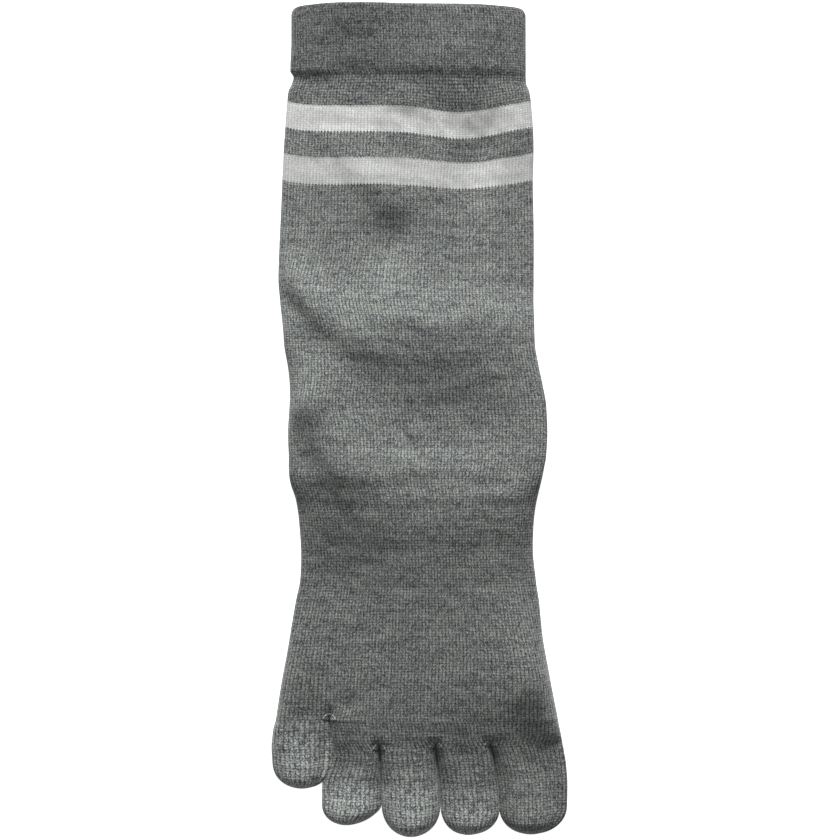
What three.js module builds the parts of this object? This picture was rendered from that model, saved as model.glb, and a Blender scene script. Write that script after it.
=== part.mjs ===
// A knitted five-toe sock for the right foot, lying flat with its instep up.
// Millimetres, +Z up, +Y towards the cuff, +X towards the big toe.
// Every piece is a hollow knitted tube or pocket, so a foot can go in through the cuff.
import * as THREE from 'three';

// The knit
const wall = 1.4;
const cuffWall = 2;
const foldRoom = 0.25;
const seamGap = 0.3;

// Lengths of the knitted zones, from the cuff's mouth to the toe line
const cuffLength = 26.2;
const topBandLength = 10.3;
const upperStripeLength = 9.7;
const midBandLength = 9.7;
const lowerStripeLength = 10.1;
const legLength = 108;
const footLength = 93.6;
const toeBaseLength = 10;

// Flat widths
const cuffWidth = 88.2;
const legWidth = 95.5;
const heelWidth = 97.2;
const waistWidth = 87.3;
const ballWidth = 108.6;

// Clear height between the two walls of the leg, and inside the folded heel
const legRoom = 7.6;
const heelRoom = 0.8;

// The heel pocket, folded up under the leg
const heelLength = 46;
const heelRamp = 17;
const heelFade = 15;

// The mouth of the cuff
const mouthCorner = 3;
const mouthTilt = 1;
const backRise = 0.9;
const mouthReach = 6;
const rimRound = 0.5;

// Toe pockets, each with its own length; their widths follow the toe line
const littleToeLength = 25.9;
const fourthToeLength = 28.2;
const middleToeLength = 33.2;
const secondToeLength = 33.4;
const bigToeLength = 34;
const toeLineSlope = 0.036;

// How the knit sags across the front: towards the big toe side, and a little on the other
const sagRight = 3;
const sagLeft = 1;

// Shape of the section: how flat the top is, and how it divides at the toes
const dome = { body: 3.2, toe: 2.5 };
const tipRound = 2.2;
const bellyPlace = 0.78;
const tipTopRound = 6;
const tipBottomRound = 3;

// Faces round and along each piece
const facesAcross = { body: 18, foot: 20, toeBase: 16, pocket: 9 };
const tipSteps = [0.3, 0.55, 0.75, 0.9, 0.97];

const greyMarl = new THREE.MeshStandardMaterial({ name: 'grey_marl', color: 0x75777a, roughness: 0.95 });
const greyRib = new THREE.MeshStandardMaterial({ name: 'grey_rib', color: 0x66686a, roughness: 0.95 });
const whiteYarn = new THREE.MeshStandardMaterial({ name: 'white_yarn', color: 0xc4c4c6, roughness: 0.95 });

// The knitted zones in order. The steps are shares of a zone's length where a ring of faces lies.
const body = [
  { name: 'cuff', length: cuffLength, thick: cuffWall, yarn: greyRib, steps: [0, 0.5, 0.9, 1] },
  { name: 'top_band', length: topBandLength, yarn: greyMarl, steps: [0, 0.25, 0.6, 1] },
  { name: 'stripe_upper', length: upperStripeLength, yarn: whiteYarn, steps: [0, 0.5, 1] },
  { name: 'mid_band', length: midBandLength, yarn: greyMarl, steps: [0, 1] },
  { name: 'stripe_lower', length: lowerStripeLength, yarn: whiteYarn, steps: [0, 1] },
  {
    name: 'leg',
    length: legLength,
    yarn: greyMarl,
    steps: [0, 0.08, 0.16, 0.23, 0.3, 0.37, 0.43, 0.48, 0.53, 0.57, 0.62, 0.68, 0.74, 0.81, 0.87, 0.93, 1],
  },
  {
    name: 'foot',
    length: footLength,
    yarn: greyMarl,
    across: facesAcross.foot,
    steps: [0, 0.05, 0.1, 0.16, 0.22, 0.28, 0.35, 0.45, 0.58, 0.72, 0.84, 0.92, 1],
  },
  {
    name: 'toe_base',
    length: toeBaseLength,
    yarn: greyMarl,
    across: facesAcross.toeBase,
    steps: [0, 0.4, 0.75, 1],
  },
].map((zone) => ({ thick: wall, across: facesAcross.body, ...zone }));
let reached = 0;
for (const zone of body) {
  zone.start = reached;
  reached += zone.length;
}
const zoneNamed = (name) => body.find((zone) => zone.name === name);
const ankle = zoneNamed('foot').start;
const heelTip = ankle - heelLength;

// The flat outline and the height of the room inside, from the cuff to the toes.
// wide is a share of the width beside it, aside of legWidth, room of legRoom, and sag of the sags above.
const form = [
  { zone: 'cuff', at: 0, of: cuffWidth, wide: 1, aside: -0.043, room: 0.78, sag: 0 },
  { zone: 'cuff', at: 0.5, of: cuffWidth, wide: 1, aside: -0.043, room: 0.78, sag: 0 },
  { zone: 'cuff', at: 0.92, of: cuffWidth, wide: 1.005, aside: -0.045, room: 0.8, sag: 0 },
  { zone: 'top_band', at: 0, of: cuffWidth, wide: 0.99, aside: -0.038, room: 0.82, sag: 0 },
  { zone: 'top_band', at: 0.25, of: cuffWidth, wide: 1, aside: -0.041, room: 0.86, sag: 0.2 },
  { zone: 'top_band', at: 0.6, of: legWidth, wide: 0.95, aside: -0.042, room: 0.88, sag: 0.8 },
  { zone: 'stripe_upper', at: 0, of: legWidth, wide: 0.961, aside: -0.041, room: 0.9, sag: 1 },
  { zone: 'mid_band', at: 0, of: legWidth, wide: 0.977, aside: -0.041, room: 0.9, sag: 1 },
  { zone: 'stripe_lower', at: 0, of: legWidth, wide: 0.986, aside: -0.043, room: 0.9, sag: 1 },
  { zone: 'leg', at: 0, of: legWidth, wide: 0.988, aside: -0.047, room: 0.9, sag: 0.9 },
  { zone: 'leg', at: 0.14, of: legWidth, wide: 0.998, aside: -0.049, room: 0.88, sag: 0.5 },
  { zone: 'leg', at: 0.23, of: legWidth, wide: 1.004, aside: -0.051, room: 0.9, sag: 0.2 },
  { zone: 'leg', at: 0.33, of: legWidth, wide: 1.007, aside: -0.053, room: 1.03, sag: 0 },
  { zone: 'leg', at: 0.41, of: legWidth, wide: 0.998, aside: -0.05, room: 1.18, sag: 0 },
  { zone: 'leg', at: 0.48, of: legWidth, wide: 0.99, aside: -0.044, room: 1.1, sag: 0 },
  { zone: 'leg', at: 0.53, of: legWidth, wide: 0.985, aside: -0.041, room: 0.9, sag: 0 },
  { zone: 'leg', at: 0.57, of: legWidth, wide: 0.984, aside: -0.038, room: 0.81, sag: 0 },
  { zone: 'leg', at: 0.63, of: legWidth, wide: 0.984, aside: -0.026, room: 0.78, sag: 0 },
  { zone: 'leg', at: 0.7, of: legWidth, wide: 0.992, aside: -0.013, room: 0.76, sag: 0 },
  { zone: 'leg', at: 0.775, of: heelWidth, wide: 0.99, aside: -0.006, room: 0.75, sag: 0 },
  { zone: 'leg', at: 0.87, of: heelWidth, wide: 1, aside: -0.007, room: 0.76, sag: 0 },
  { zone: 'leg', at: 0.95, of: heelWidth, wide: 0.992, aside: -0.008, room: 0.78, sag: 0 },
  { zone: 'foot', at: 0, of: heelWidth, wide: 0.982, aside: -0.013, room: 0.8, sag: 0 },
  { zone: 'foot', at: 0.05, of: heelWidth, wide: 0.967, aside: -0.015, room: 0.87, sag: 0 },
  { zone: 'foot', at: 0.12, of: heelWidth, wide: 0.932, aside: -0.012, room: 1.12, sag: 0 },
  { zone: 'foot', at: 0.2, of: waistWidth, wide: 1.013, aside: -0.012, room: 1.23, sag: 0 },
  { zone: 'foot', at: 0.32, of: waistWidth, wide: 1, aside: -0.01, room: 1.08, sag: 0 },
  { zone: 'foot', at: 0.44, of: waistWidth, wide: 1.017, aside: -0.006, room: 0.98, sag: 0 },
  { zone: 'foot', at: 0.52, of: ballWidth, wide: 0.842, aside: -0.008, room: 0.94, sag: 0 },
  { zone: 'foot', at: 0.68, of: ballWidth, wide: 0.88, aside: -0.013, room: 0.93, sag: 0 },
  { zone: 'foot', at: 0.84, of: ballWidth, wide: 0.93, aside: -0.013, room: 0.96, sag: 0 },
  { zone: 'toe_base', at: 0, of: ballWidth, wide: 0.978, aside: -0.01, room: 0.94, sag: 0 },
  { zone: 'toe_base', at: 1, of: ballWidth, wide: 1.005, aside: -0.008, room: 0.9, sag: 0 },
];

// Folds across the front: a crest, or a hollow where high is negative, along a line at turn degrees from +X.
// side is a share of the half width. long, and the widths of the fold's sides towards the cuff and
// towards the toes, are shares of legWidth, and high is a share of legRoom.
const folds = [
  { zone: 'cuff', at: 0.58, side: -0.58, turn: 3, long: 0.2, cuffSide: 0.08, toeSide: 0.1, high: -0.08 },
  { zone: 'stripe_upper', at: 0.8, side: 0.4, turn: -14, long: 0.17, cuffSide: 0.07, toeSide: 0.06, high: -0.15 },
  { zone: 'mid_band', at: 0.25, side: -0.5, turn: -60, long: 0.08, cuffSide: 0.06, toeSide: 0.06, high: -0.1 },
  { zone: 'leg', at: 0.2, side: -0.14, turn: -25, long: 0.1, cuffSide: 0.09, toeSide: 0.09, high: -0.16 },
  { zone: 'leg', at: 0.47, side: -0.75, turn: -46, long: 0.19, cuffSide: 0.13, toeSide: 0.04, high: 0.22 },
  { zone: 'leg', at: 0.55, side: 0.24, turn: 2, long: 0.33, cuffSide: 0.2, toeSide: 0.11, high: 0.22 },
  { zone: 'leg', at: 0.95, side: -0.68, turn: -59, long: 0.26, cuffSide: 0.16, toeSide: 0.065, high: 0.26 },
  { zone: 'foot', at: 0.18, side: 0.31, turn: 3, long: 0.3, cuffSide: 0.18, toeSide: 0.13, high: 0.16 },
  { zone: 'foot', at: 0.31, side: -0.74, turn: -8, long: 0.17, cuffSide: 0.14, toeSide: 0.05, high: 0.1 },
  { zone: 'foot', at: 0.88, side: 0.78, turn: 8, long: 0.19, cuffSide: 0.2, toeSide: 0.1, high: 0.18 },
  { zone: 'foot', at: 0.96, side: 0.24, turn: 0, long: 0.16, cuffSide: 0.1, toeSide: 0.06, high: 0.07 },
];

// Where the toes part on the toe line, as shares of the ball's width from the little toe side
const crotches = { little: 0.191, fourth: 0.369, middle: 0.562, second: 0.751 };

// Each toe's outline: shares of its length from its mouth, and of its mouth's width to either side
const toes = [
  {
    name: 'toe_little', from: 0, to: crotches.little, length: littleToeLength,
    room: 0.88, belly: 1.02, tipStart: 0.58, tipAside: -0.03,
    edges: [
      { at: 0, left: -0.5, right: 0.5 },
      { at: 0.2, left: -0.548, right: 0.529 },
      { at: 0.4, left: -0.571, right: 0.548 },
      { at: 0.6, left: -0.556, right: 0.535 },
      { at: 1, left: -0.53, right: 0.51 },
    ],
  },
  {
    name: 'toe_fourth', from: crotches.little, to: crotches.fourth, length: fourthToeLength,
    room: 0.84, belly: 1.14, tipStart: 0.72, tipAside: -0.237,
    edges: [
      { at: 0, left: -0.5, right: 0.5 },
      { at: 0.13, left: -0.476, right: 0.514 },
      { at: 0.26, left: -0.505, right: 0.53 },
      { at: 0.37, left: -0.6, right: 0.536 },
      { at: 0.46, left: -0.685, right: 0.538 },
      { at: 0.75, left: -0.71, right: 0.53 },
      { at: 0.88, left: -0.7, right: 0.45 },
      { at: 1, left: -0.68, right: 0.39 },
    ],
  },
  {
    name: 'toe_middle', from: crotches.fourth, to: crotches.middle, length: middleToeLength,
    room: 0.86, belly: 1.16, tipStart: 0.62, tipAside: 0.058,
    edges: [
      { at: 0, left: -0.5, right: 0.5 },
      { at: 0.22, left: -0.473, right: 0.535 },
      { at: 0.45, left: -0.456, right: 0.567 },
      { at: 1, left: -0.45, right: 0.597 },
    ],
  },
  {
    name: 'toe_second', from: crotches.middle, to: crotches.second, length: secondToeLength,
    room: 0.86, belly: 1.16, tipStart: 0.68, tipAside: 0.087,
    edges: [
      { at: 0, left: -0.5, right: 0.5 },
      { at: 0.15, left: -0.463, right: 0.564 },
      { at: 0.37, left: -0.434, right: 0.619 },
      { at: 0.6, left: -0.403, right: 0.656 },
      { at: 1, left: -0.38, right: 0.674 },
    ],
  },
  {
    name: 'toe_big', from: crotches.second, to: 1, length: bigToeLength,
    room: 0.84, belly: 1.24, tipStart: 0.7, tipAside: 0.061,
    edges: [
      { at: 0, left: -0.5, right: 0.5 },
      { at: 0.1, left: -0.453, right: 0.514 },
      { at: 0.22, left: -0.432, right: 0.54 },
      { at: 0.44, left: -0.396, right: 0.561 },
      { at: 0.66, left: -0.372, right: 0.557 },
      { at: 1, left: -0.358, right: 0.52 },
    ],
  },
];

// The folded heel's outline, in shares of its length and of its mouth's width
const heelEdges = [
  { at: 0, left: -0.48, right: 0.48 },
  { at: 0.35, left: -0.47, right: 0.47 },
  { at: 0.7, left: -0.43, right: 0.43 },
  { at: 1, left: -0.36, right: 0.36 },
];

const mix = (a, b, share) => a + (b - a) * share;
const clamp = (value, low, high) => Math.min(high, Math.max(low, value));
const smooth = (share) => {
  const t = clamp(share, 0, 1);
  return t * t * (3 - 2 * t);
};

// A smooth curve through points that rises and falls only where they do.
function curveThrough(places, values) {
  const last = places.length - 1;
  const slopes = places.slice(1).map((place, i) => (values[i + 1] - values[i]) / (place - places[i]));
  const tangents = places.map((_, i) => {
    if (i === 0) return slopes[0];
    if (i === last) return slopes[last - 1];
    const [before, after] = [slopes[i - 1], slopes[i]];
    return before * after > 0 ? (2 * before * after) / (before + after) : 0;
  });
  return (place) => {
    const p = clamp(place, places[0], places[last]);
    const i = clamp(places.findIndex((x) => x >= p) - 1, 0, last - 1);
    const span = places[i + 1] - places[i];
    const t = (p - places[i]) / span;
    return (
      values[i] * (1 + 2 * t) * (1 - t) ** 2 +
      tangents[i] * span * t * (1 - t) ** 2 +
      values[i + 1] * t * t * (3 - 2 * t) +
      tangents[i + 1] * span * t * t * (t - 1)
    );
  };
}

const distanceOf = ({ zone, at }) => zoneNamed(zone).start + zoneNamed(zone).length * at;
const formCurve = (value) => curveThrough(form.map(distanceOf), form.map(value));
const halfAt = formCurve((row) => (row.of * row.wide) / 2);
const centreAt = formCurve((row) => row.aside * legWidth);
const roomAt = formCurve((row) => row.room * legRoom);
const sagAt = formCurve((row) => row.sag);

// The heel's two layers lift the leg that lies on them, and make the foot's end beside them higher.
const heelHigh = 2 * wall + heelRoom;
const legLift = (distance) => (heelHigh + seamGap) * smooth((distance - heelTip + heelRamp) / heelRamp);
const footLift = (distance) => (heelHigh + seamGap) * (1 - smooth((distance - ankle) / heelFade));

const foldLines = folds.map((fold) => {
  const distance = distanceOf(fold);
  const turn = THREE.MathUtils.degToRad(fold.turn);
  return {
    x: centreAt(distance) + fold.side * halfAt(distance),
    y: -distance,
    along: new THREE.Vector2(Math.cos(turn), Math.sin(turn)),
    long: fold.long * legWidth,
    cuffSide: fold.cuffSide * legWidth,
    toeSide: fold.toeSide * legWidth,
    high: fold.high * legRoom,
  };
});

// How far the folds lift the front at a place.
function foldLift(x, y) {
  return foldLines.reduce((sum, fold) => {
    const [dx, dy] = [x - fold.x, y - fold.y];
    const beside = dy * fold.along.x - dx * fold.along.y;
    const l = (dx * fold.along.x + dy * fold.along.y) / fold.long;
    const b = beside / (beside > 0 ? fold.cuffSide : fold.toeSide);
    return sum + fold.high * Math.exp(-l * l - b * b);
  }, 0);
}

// Shares across a section from +1 to -1, closer together at its edges and wherever two lobes part.
function sharesAcross(lobes, count) {
  const each = count / lobes.length;
  const shares = [1];
  for (const lobe of [...lobes].reverse()) {
    for (let i = 1; i <= each; i++) {
      shares.push(mix(lobe.to, lobe.from, (1 - Math.cos((Math.PI * i) / each)) / 2));
    }
  }
  return shares;
}

// How high a section stands above its folded edges at a share across it.
function lobeRise(lobes, share) {
  const lobe = lobes.find(({ to }) => share <= to) ?? lobes[lobes.length - 1];
  const local = (2 * (share - lobe.from)) / (lobe.to - lobe.from) - 1;
  return Math.max(0, lobe.room - 2 * foldRoom) * (1 - Math.abs(clamp(local, -1, 1)) ** lobe.dome);
}

// One closed ring of points round a section, its outside with inset 0 or its inside with the wall as inset.
function ringPoints(section, inset) {
  const { shares, centre, half, base, edge, riseAt, slantAt, flatBottom = 1, rounded = 1 } = section;
  const count = shares.length - 1;
  const inHalf = Math.max(half - inset, 0.02);
  const inEdge = edge - inset;
  const step = half / 50;
  return Array.from({ length: 2 * count }, (_, j) => {
    const share = shares[j <= count ? j : 2 * count - j];
    const x = inHalf * share;
    const nearEdge = clamp(1 - ((1 - Math.abs(share)) * inHalf) / inEdge, 0, 1);
    const round = Math.sqrt(1 - nearEdge * nearEdge);
    const onTop = j <= count;
    const outerShare = clamp(x / half, -1, 1);
    const slope = (riseAt((x + step) / half) - riseAt((x - step) / half)) / (2 * step);
    const thinning = inset * (Math.min(Math.hypot(1, slope), 1.6) - 1);
    const rise = Math.max(0, riseAt(outerShare) - thinning);
    const up = (inEdge * round + rise) * rounded;
    const down = -inEdge * round * flatBottom;
    return new THREE.Vector3(centre + x, slantAt(share, onTop), base + edge + (onTop ? up : down));
  });
}

// A closed solid between an outer and an inner stack of rings, with a pole where a pocket ends.
function shellGeometry(outer, inner, poles) {
  const around = outer[0].length;
  const points = [...outer.flat(), ...inner.flat(), ...(poles ?? [])];
  const innerStart = outer.length * around;
  const faces = [];
  const quad = (a, b, c, d) => faces.push(a, b, c, a, c, d);
  const stack = (start, rings, facing) => {
    for (let i = 0; i + 1 < rings; i++) {
      for (let j = 0; j < around; j++) {
        const next = (j + 1) % around;
        const corners = [i * around + j, i * around + next, (i + 1) * around + next, (i + 1) * around + j];
        const [a, b, c, d] = corners.map((corner) => start + corner);
        facing ? quad(a, b, c, d) : quad(d, c, b, a);
      }
    }
  };
  const rim = (outerRing, innerRing, facing) => {
    for (let j = 0; j < around; j++) {
      const next = (j + 1) % around;
      const [a, b] = [outerRing * around + j, outerRing * around + next];
      const [c, d] = [innerStart + innerRing * around + next, innerStart + innerRing * around + j];
      facing ? quad(a, b, c, d) : quad(d, c, b, a);
    }
  };
  const cap = (start, pole, facing) => {
    for (let j = 0; j < around; j++) {
      const next = (j + 1) % around;
      facing ? faces.push(start + j, start + next, pole) : faces.push(start + next, start + j, pole);
    }
  };
  stack(0, outer.length, true);
  stack(innerStart, inner.length, false);
  rim(0, 0, false);
  if (poles) {
    const poleStart = points.length - 2;
    cap((outer.length - 1) * around, poleStart, true);
    cap(innerStart + (inner.length - 1) * around, poleStart + 1, false);
  } else {
    rim(outer.length - 1, inner.length - 1, true);
  }
  const geometry = new THREE.BufferGeometry();
  geometry.setAttribute('position', new THREE.Float32BufferAttribute(points.flatMap((p) => p.toArray()), 3));
  geometry.setIndex(faces);
  geometry.computeVertexNormals();
  return geometry;
}

// Folds and sags die away towards the section's edges.
const offEdge = (share, power = 4) => 1 - clamp(Math.abs(share), 0, 1) ** power;

// How far a course of stitches has slipped towards the toes at a share across the front.
function courseSag(distance, share) {
  const right = sagRight * Math.exp(-(((share - 0.37) / 0.36) ** 2));
  const left = sagLeft * Math.exp(-(((share + 0.5) / 0.25) ** 2));
  return sagAt(distance) * (right + left) * offEdge(share, 6);
}

// The mouth leans a little, and the back of the cuff stands out past its front.
function mouthShift(distance, share, onTop) {
  const near = 1 - smooth(distance / mouthReach);
  return near * ((-mouthTilt * share) / 2 + (onTop ? 0 : backRise * offEdge(share, 6)));
}

// The cuff's corners are rounded off at the mouth.
function mouthNarrowing(distance) {
  const left = clamp(mouthCorner - distance, 0, mouthCorner);
  return mouthCorner - Math.sqrt(mouthCorner ** 2 - left ** 2);
}

const ballLeft = (distance) => centreAt(distance) - halfAt(distance);
const ballPlace = (distance, share) => ballLeft(distance) + 2 * halfAt(distance) * share;
const oneLobe = (room) => [{ from: -1, to: 1, room, dome: dome.body }];

// The front of the foot divides into the little toe and the base of the other four.
function footLobes(distance) {
  const part = 2 * crotches.little - 1;
  return [
    { from: -1, to: part, room: toes[0].room * legRoom, dome: dome.toe },
    { from: part, to: 1, room: roomAt(distance), dome: dome.body },
  ];
}

// The little toe's side runs on past its mouth, and the toe base and the fourth toe lie against it.
function littleSideAt(distance) {
  const [toe] = toes;
  const mouth = zoneNamed('toe_base').start;
  const width = ballPlace(mouth, toe.to) - ballPlace(mouth, toe.from);
  const share = curveThrough(toe.edges.map(({ at }) => at), toe.edges.map(({ right }) => right));
  return ballPlace(mouth, toe.from) + width * (0.5 + share((distance - mouth) / toe.length));
}

// Where the toe line is divided, from the little toe's side to the big toe's.
const toeLine = [littleSideAt(reached), ...toes.slice(1).map((toe) => ballPlace(reached, toe.to))];

// The toe base divides into its four toes.
function toeBaseLobes() {
  const [start, end] = [toeLine[0], toeLine[toeLine.length - 1]];
  const shareOf = (place) => (2 * (place - start)) / (end - start) - 1;
  return toes.slice(1).map((toe, i) => ({
    from: shareOf(toeLine[i]),
    to: shareOf(toeLine[i + 1]),
    room: toe.room * legRoom,
    dome: dome.toe,
  }));
}

function bodySection(zone, distance) {
  const isFoot = zone.name === 'foot';
  const isToeBase = zone.name === 'toe_base';
  const whole = { left: ballLeft(distance), right: centreAt(distance) + halfAt(distance) };
  const left = isToeBase ? littleSideAt(distance) + seamGap / 2 : whole.left;
  const centre = (left + whole.right) / 2;
  const half = (whole.right - left) / 2 - mouthNarrowing(distance);
  const rear = oneLobe(roomAt(distance));
  const front = isFoot ? footLobes(distance) : toeBaseLobes();
  const along = (distance - zone.start) / zone.length;
  const parting = isFoot ? smooth((along - 0.8) / 0.2) : smooth(along);
  const divided = isFoot || isToeBase;
  const rise = (share) => {
    const plain = lobeRise(rear, share);
    return divided ? mix(plain, lobeRise(front, share), parting) : plain;
  };
  const rearShares = sharesAcross(rear, zone.across);
  const toeLobes = toes.map((toe) => ({ from: 2 * toe.from - 1, to: 2 * toe.to - 1 }));
  const crowded = sharesAcross(isFoot ? toeLobes : front, zone.across);
  const gathered = isFoot ? smooth((along - 0.5) / 0.3) : 1;
  const lift = isFoot || isToeBase ? footLift(distance) : 0;
  const slope = isToeBase ? toeLineSlope * smooth(along) : 0;
  return {
    shares: divided ? rearShares.map((share, i) => mix(share, crowded[i], gathered)) : rearShares,
    centre,
    half,
    base: divided ? 0 : legLift(distance),
    edge: zone.thick + foldRoom + lift / 2,
    riseAt: (share) => rise(share) + foldLift(centre + half * share, -distance) * offEdge(share),
    slantAt: (share, onTop) => {
      const sag = onTop ? courseSag(distance, share) : 0;
      return -distance + mouthShift(distance, share, onTop) - sag + slope * half * share;
    },
  };
}

function bodyMesh(zone, index) {
  const first = index === 0;
  const last = index === body.length - 1;
  const start = zone.start + (first ? 0 : seamGap / 2);
  const end = zone.start + zone.length - (last ? 0 : seamGap / 2);
  const distances = zone.steps.map((step) => mix(start, end, step));
  if (first) distances.splice(1, 0, rimRound, mouthCorner / 2, mouthCorner);
  const ringsOf = (inset) => distances.map((d) => ringPoints(bodySection(zone, d), inset(d)));
  const softened = (d) => (first ? Math.max(0, rimRound - d) : 0);
  const outer = ringsOf((d) => softened(d));
  const inner = ringsOf((d) => zone.thick - softened(d));
  const mesh = new THREE.Mesh(shellGeometry(outer, inner), zone.yarn);
  mesh.name = zone.name;
  return mesh;
}

// A pocket with its mouth at the origin and its tip along -Y: a toe, or the heel.
function pocketRings(sizes, inset) {
  const { width, length, edges, tipStart, tipAside, edge, slope, across } = sizes;
  const { mouthRise, bellyRise, bellyAt, topRound } = sizes;
  const places = edges.map(({ at }) => at);
  const leftAt = curveThrough(places, edges.map(({ left }) => left * width + seamGap / 2));
  const rightAt = curveThrough(places, edges.map(({ right }) => right * width - seamGap / 2));
  const pole = tipAside * width;
  const long = length - inset;
  const sideSteps = [0, 0.3, 0.6, 1].map((share) => share * tipStart);
  const stations = [...sideSteps, ...tipSteps.map((q) => mix(tipStart, 1, q))];
  const rings = stations.map((at) => {
    const q = clamp((at - tipStart) / (1 - tipStart), 0, 1);
    const narrowed = (1 - q ** tipRound) ** (1 / tipRound);
    const [left, right] = [leftAt(at) + inset, rightAt(at) - inset].map((side) => mix(pole, side, narrowed));
    const roundOver = (reach) => {
      const gone = clamp(1 - ((1 - at) * long) / (reach - inset), 0, 1);
      return Math.sqrt(1 - gone * gone);
    };
    const rise = mix(mouthRise, bellyRise, smooth(at / bellyAt));
    const section = {
      shares: sharesAcross([{ from: -1, to: 1 }], across),
      centre: (left + right) / 2,
      half: (right - left) / 2 + inset,
      base: 0,
      edge,
      riseAt: (share) => rise * (1 - clamp(Math.abs(share), 0, 1) ** dome.toe),
      slantAt: (share) => -at * long + slope * ((right - left) / 2) * share * (1 - at) ** 2,
      flatBottom: roundOver(tipBottomRound),
      rounded: roundOver(topRound),
    };
    return ringPoints(section, inset);
  });
  return { rings, pole: new THREE.Vector3(pole, -long, edge) };
}

function pocketMesh(name, yarn, sizes) {
  const outer = pocketRings(sizes, 0);
  const inner = pocketRings(sizes, wall);
  const mesh = new THREE.Mesh(shellGeometry(outer.rings, inner.rings, [outer.pole, inner.pole]), yarn);
  mesh.name = name;
  return mesh;
}

function toeMesh(toe) {
  const isLittle = toe === toes[0];
  const mouth = isLittle ? zoneNamed('toe_base').start : reached;
  const place = toes.indexOf(toe) - 1;
  const onBall = [ballPlace(mouth, toe.from), ballPlace(mouth, toe.to)];
  const [left, right] = isLittle ? onBall : toeLine.slice(place, place + 2);
  const lineCentre = (toeLine[0] + toeLine[toeLine.length - 1]) / 2;
  const middle = (left + right) / 2;
  const mesh = pocketMesh(toe.name, greyMarl, {
    ...toe,
    width: right - left,
    edge: wall + foldRoom,
    mouthRise: toe.room * legRoom - 2 * foldRoom,
    bellyRise: toe.belly * legRoom - 2 * foldRoom,
    bellyAt: bellyPlace,
    topRound: tipTopRound,
    slope: isLittle ? 0 : toeLineSlope,
    across: facesAcross.pocket,
  });
  const lean = isLittle ? 0 : toeLineSlope * (middle - lineCentre);
  mesh.position.set(middle, -mouth - (isLittle ? seamGap / 2 : seamGap) + lean, 0);
  return mesh;
}

function heelMesh() {
  const mesh = pocketMesh('heel', greyMarl, {
    width: 2 * halfAt(ankle),
    length: heelLength,
    edges: heelEdges,
    tipStart: 0.45,
    tipAside: 0,
    edge: heelHigh / 2,
    mouthRise: 0,
    bellyRise: 0,
    bellyAt: bellyPlace,
    topRound: tipBottomRound,
    slope: 0,
    across: facesAcross.pocket,
  });
  mesh.rotation.z = Math.PI;
  mesh.position.set(centreAt(ankle), -ankle + seamGap / 2, 0);
  return mesh;
}

const pieces = new THREE.Group();
pieces.name = 'pieces';
pieces.add(...body.map(bodyMesh), heelMesh(), ...toes.map(toeMesh));

// The origin is on the floor, under the middle of the sock.
const box = new THREE.Box3().setFromObject(pieces, true);
const middle = box.getCenter(new THREE.Vector3());
pieces.position.set(-middle.x, -middle.y, -box.min.z);

const sock = new THREE.Group();
sock.name = 'toe_sock';
sock.add(pieces);

export default sock;
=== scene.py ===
"""A knitted toe sock for the right foot, laid flat with its instep up.

Shapes are worked out in millimetres and become metres when a mesh is made.
+Z is up, +Y towards the cuff and +X towards the big toe.
Distances run along the knit from the cuff's mouth to the toes.
"""

from __future__ import annotations

import logging
import math
from collections.abc import Callable, Sequence
from dataclasses import dataclass, field
from enum import Enum

import bpy
import numpy as np
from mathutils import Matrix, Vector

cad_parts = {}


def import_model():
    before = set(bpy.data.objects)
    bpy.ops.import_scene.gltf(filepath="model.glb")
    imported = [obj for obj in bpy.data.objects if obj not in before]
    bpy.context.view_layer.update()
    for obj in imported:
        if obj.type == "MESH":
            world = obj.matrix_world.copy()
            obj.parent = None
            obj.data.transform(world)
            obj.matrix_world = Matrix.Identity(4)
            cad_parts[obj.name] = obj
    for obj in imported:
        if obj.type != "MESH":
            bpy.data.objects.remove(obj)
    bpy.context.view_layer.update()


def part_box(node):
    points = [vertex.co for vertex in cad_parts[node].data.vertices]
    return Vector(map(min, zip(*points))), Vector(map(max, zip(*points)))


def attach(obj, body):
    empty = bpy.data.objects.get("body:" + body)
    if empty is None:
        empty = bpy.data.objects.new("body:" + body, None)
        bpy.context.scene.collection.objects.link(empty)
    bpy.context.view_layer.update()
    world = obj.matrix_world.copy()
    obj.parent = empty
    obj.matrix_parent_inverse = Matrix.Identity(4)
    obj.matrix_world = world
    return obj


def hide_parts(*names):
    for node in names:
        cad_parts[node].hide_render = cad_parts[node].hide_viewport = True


LOG = logging.getLogger("sock")
MM = 0.001
KNIT_MAP = "Knit"
BAKE_MAP = "OFBake"
SAMPLES_PER_WALE = 4

MATH = "ShaderNodeMath"

Values = np.ndarray
Lobe = tuple[float, float, float, float]
ToeShare = tuple[float, float, int]
Corner = tuple[int, tuple[float, float], tuple[float, float]]


def mix(a: Values | float, b: Values | float, share: Values | float) -> Values | float:
    """Returns the value at a share of the way from a to b."""
    return a + (b - a) * share


def smooth(share: Values | float) -> Values:
    """Returns 0 to 1 for a share of 0 to 1, level at both ends."""
    t = np.clip(share, 0.0, 1.0)
    return t * t * (3 - 2 * t)


def smooth_from(start: float, share: float) -> float:
    """Returns 0 up to the start and 1 at a share of 1, with a smooth rise between."""
    return float(smooth((share - start) / (1 - start)))


def off_edge(share: Values, power: float) -> Values:
    """Returns 1 in the middle of a section, dying away to 0 at its edges."""
    return 1 - np.clip(np.abs(share), 0, 1) ** power


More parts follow.
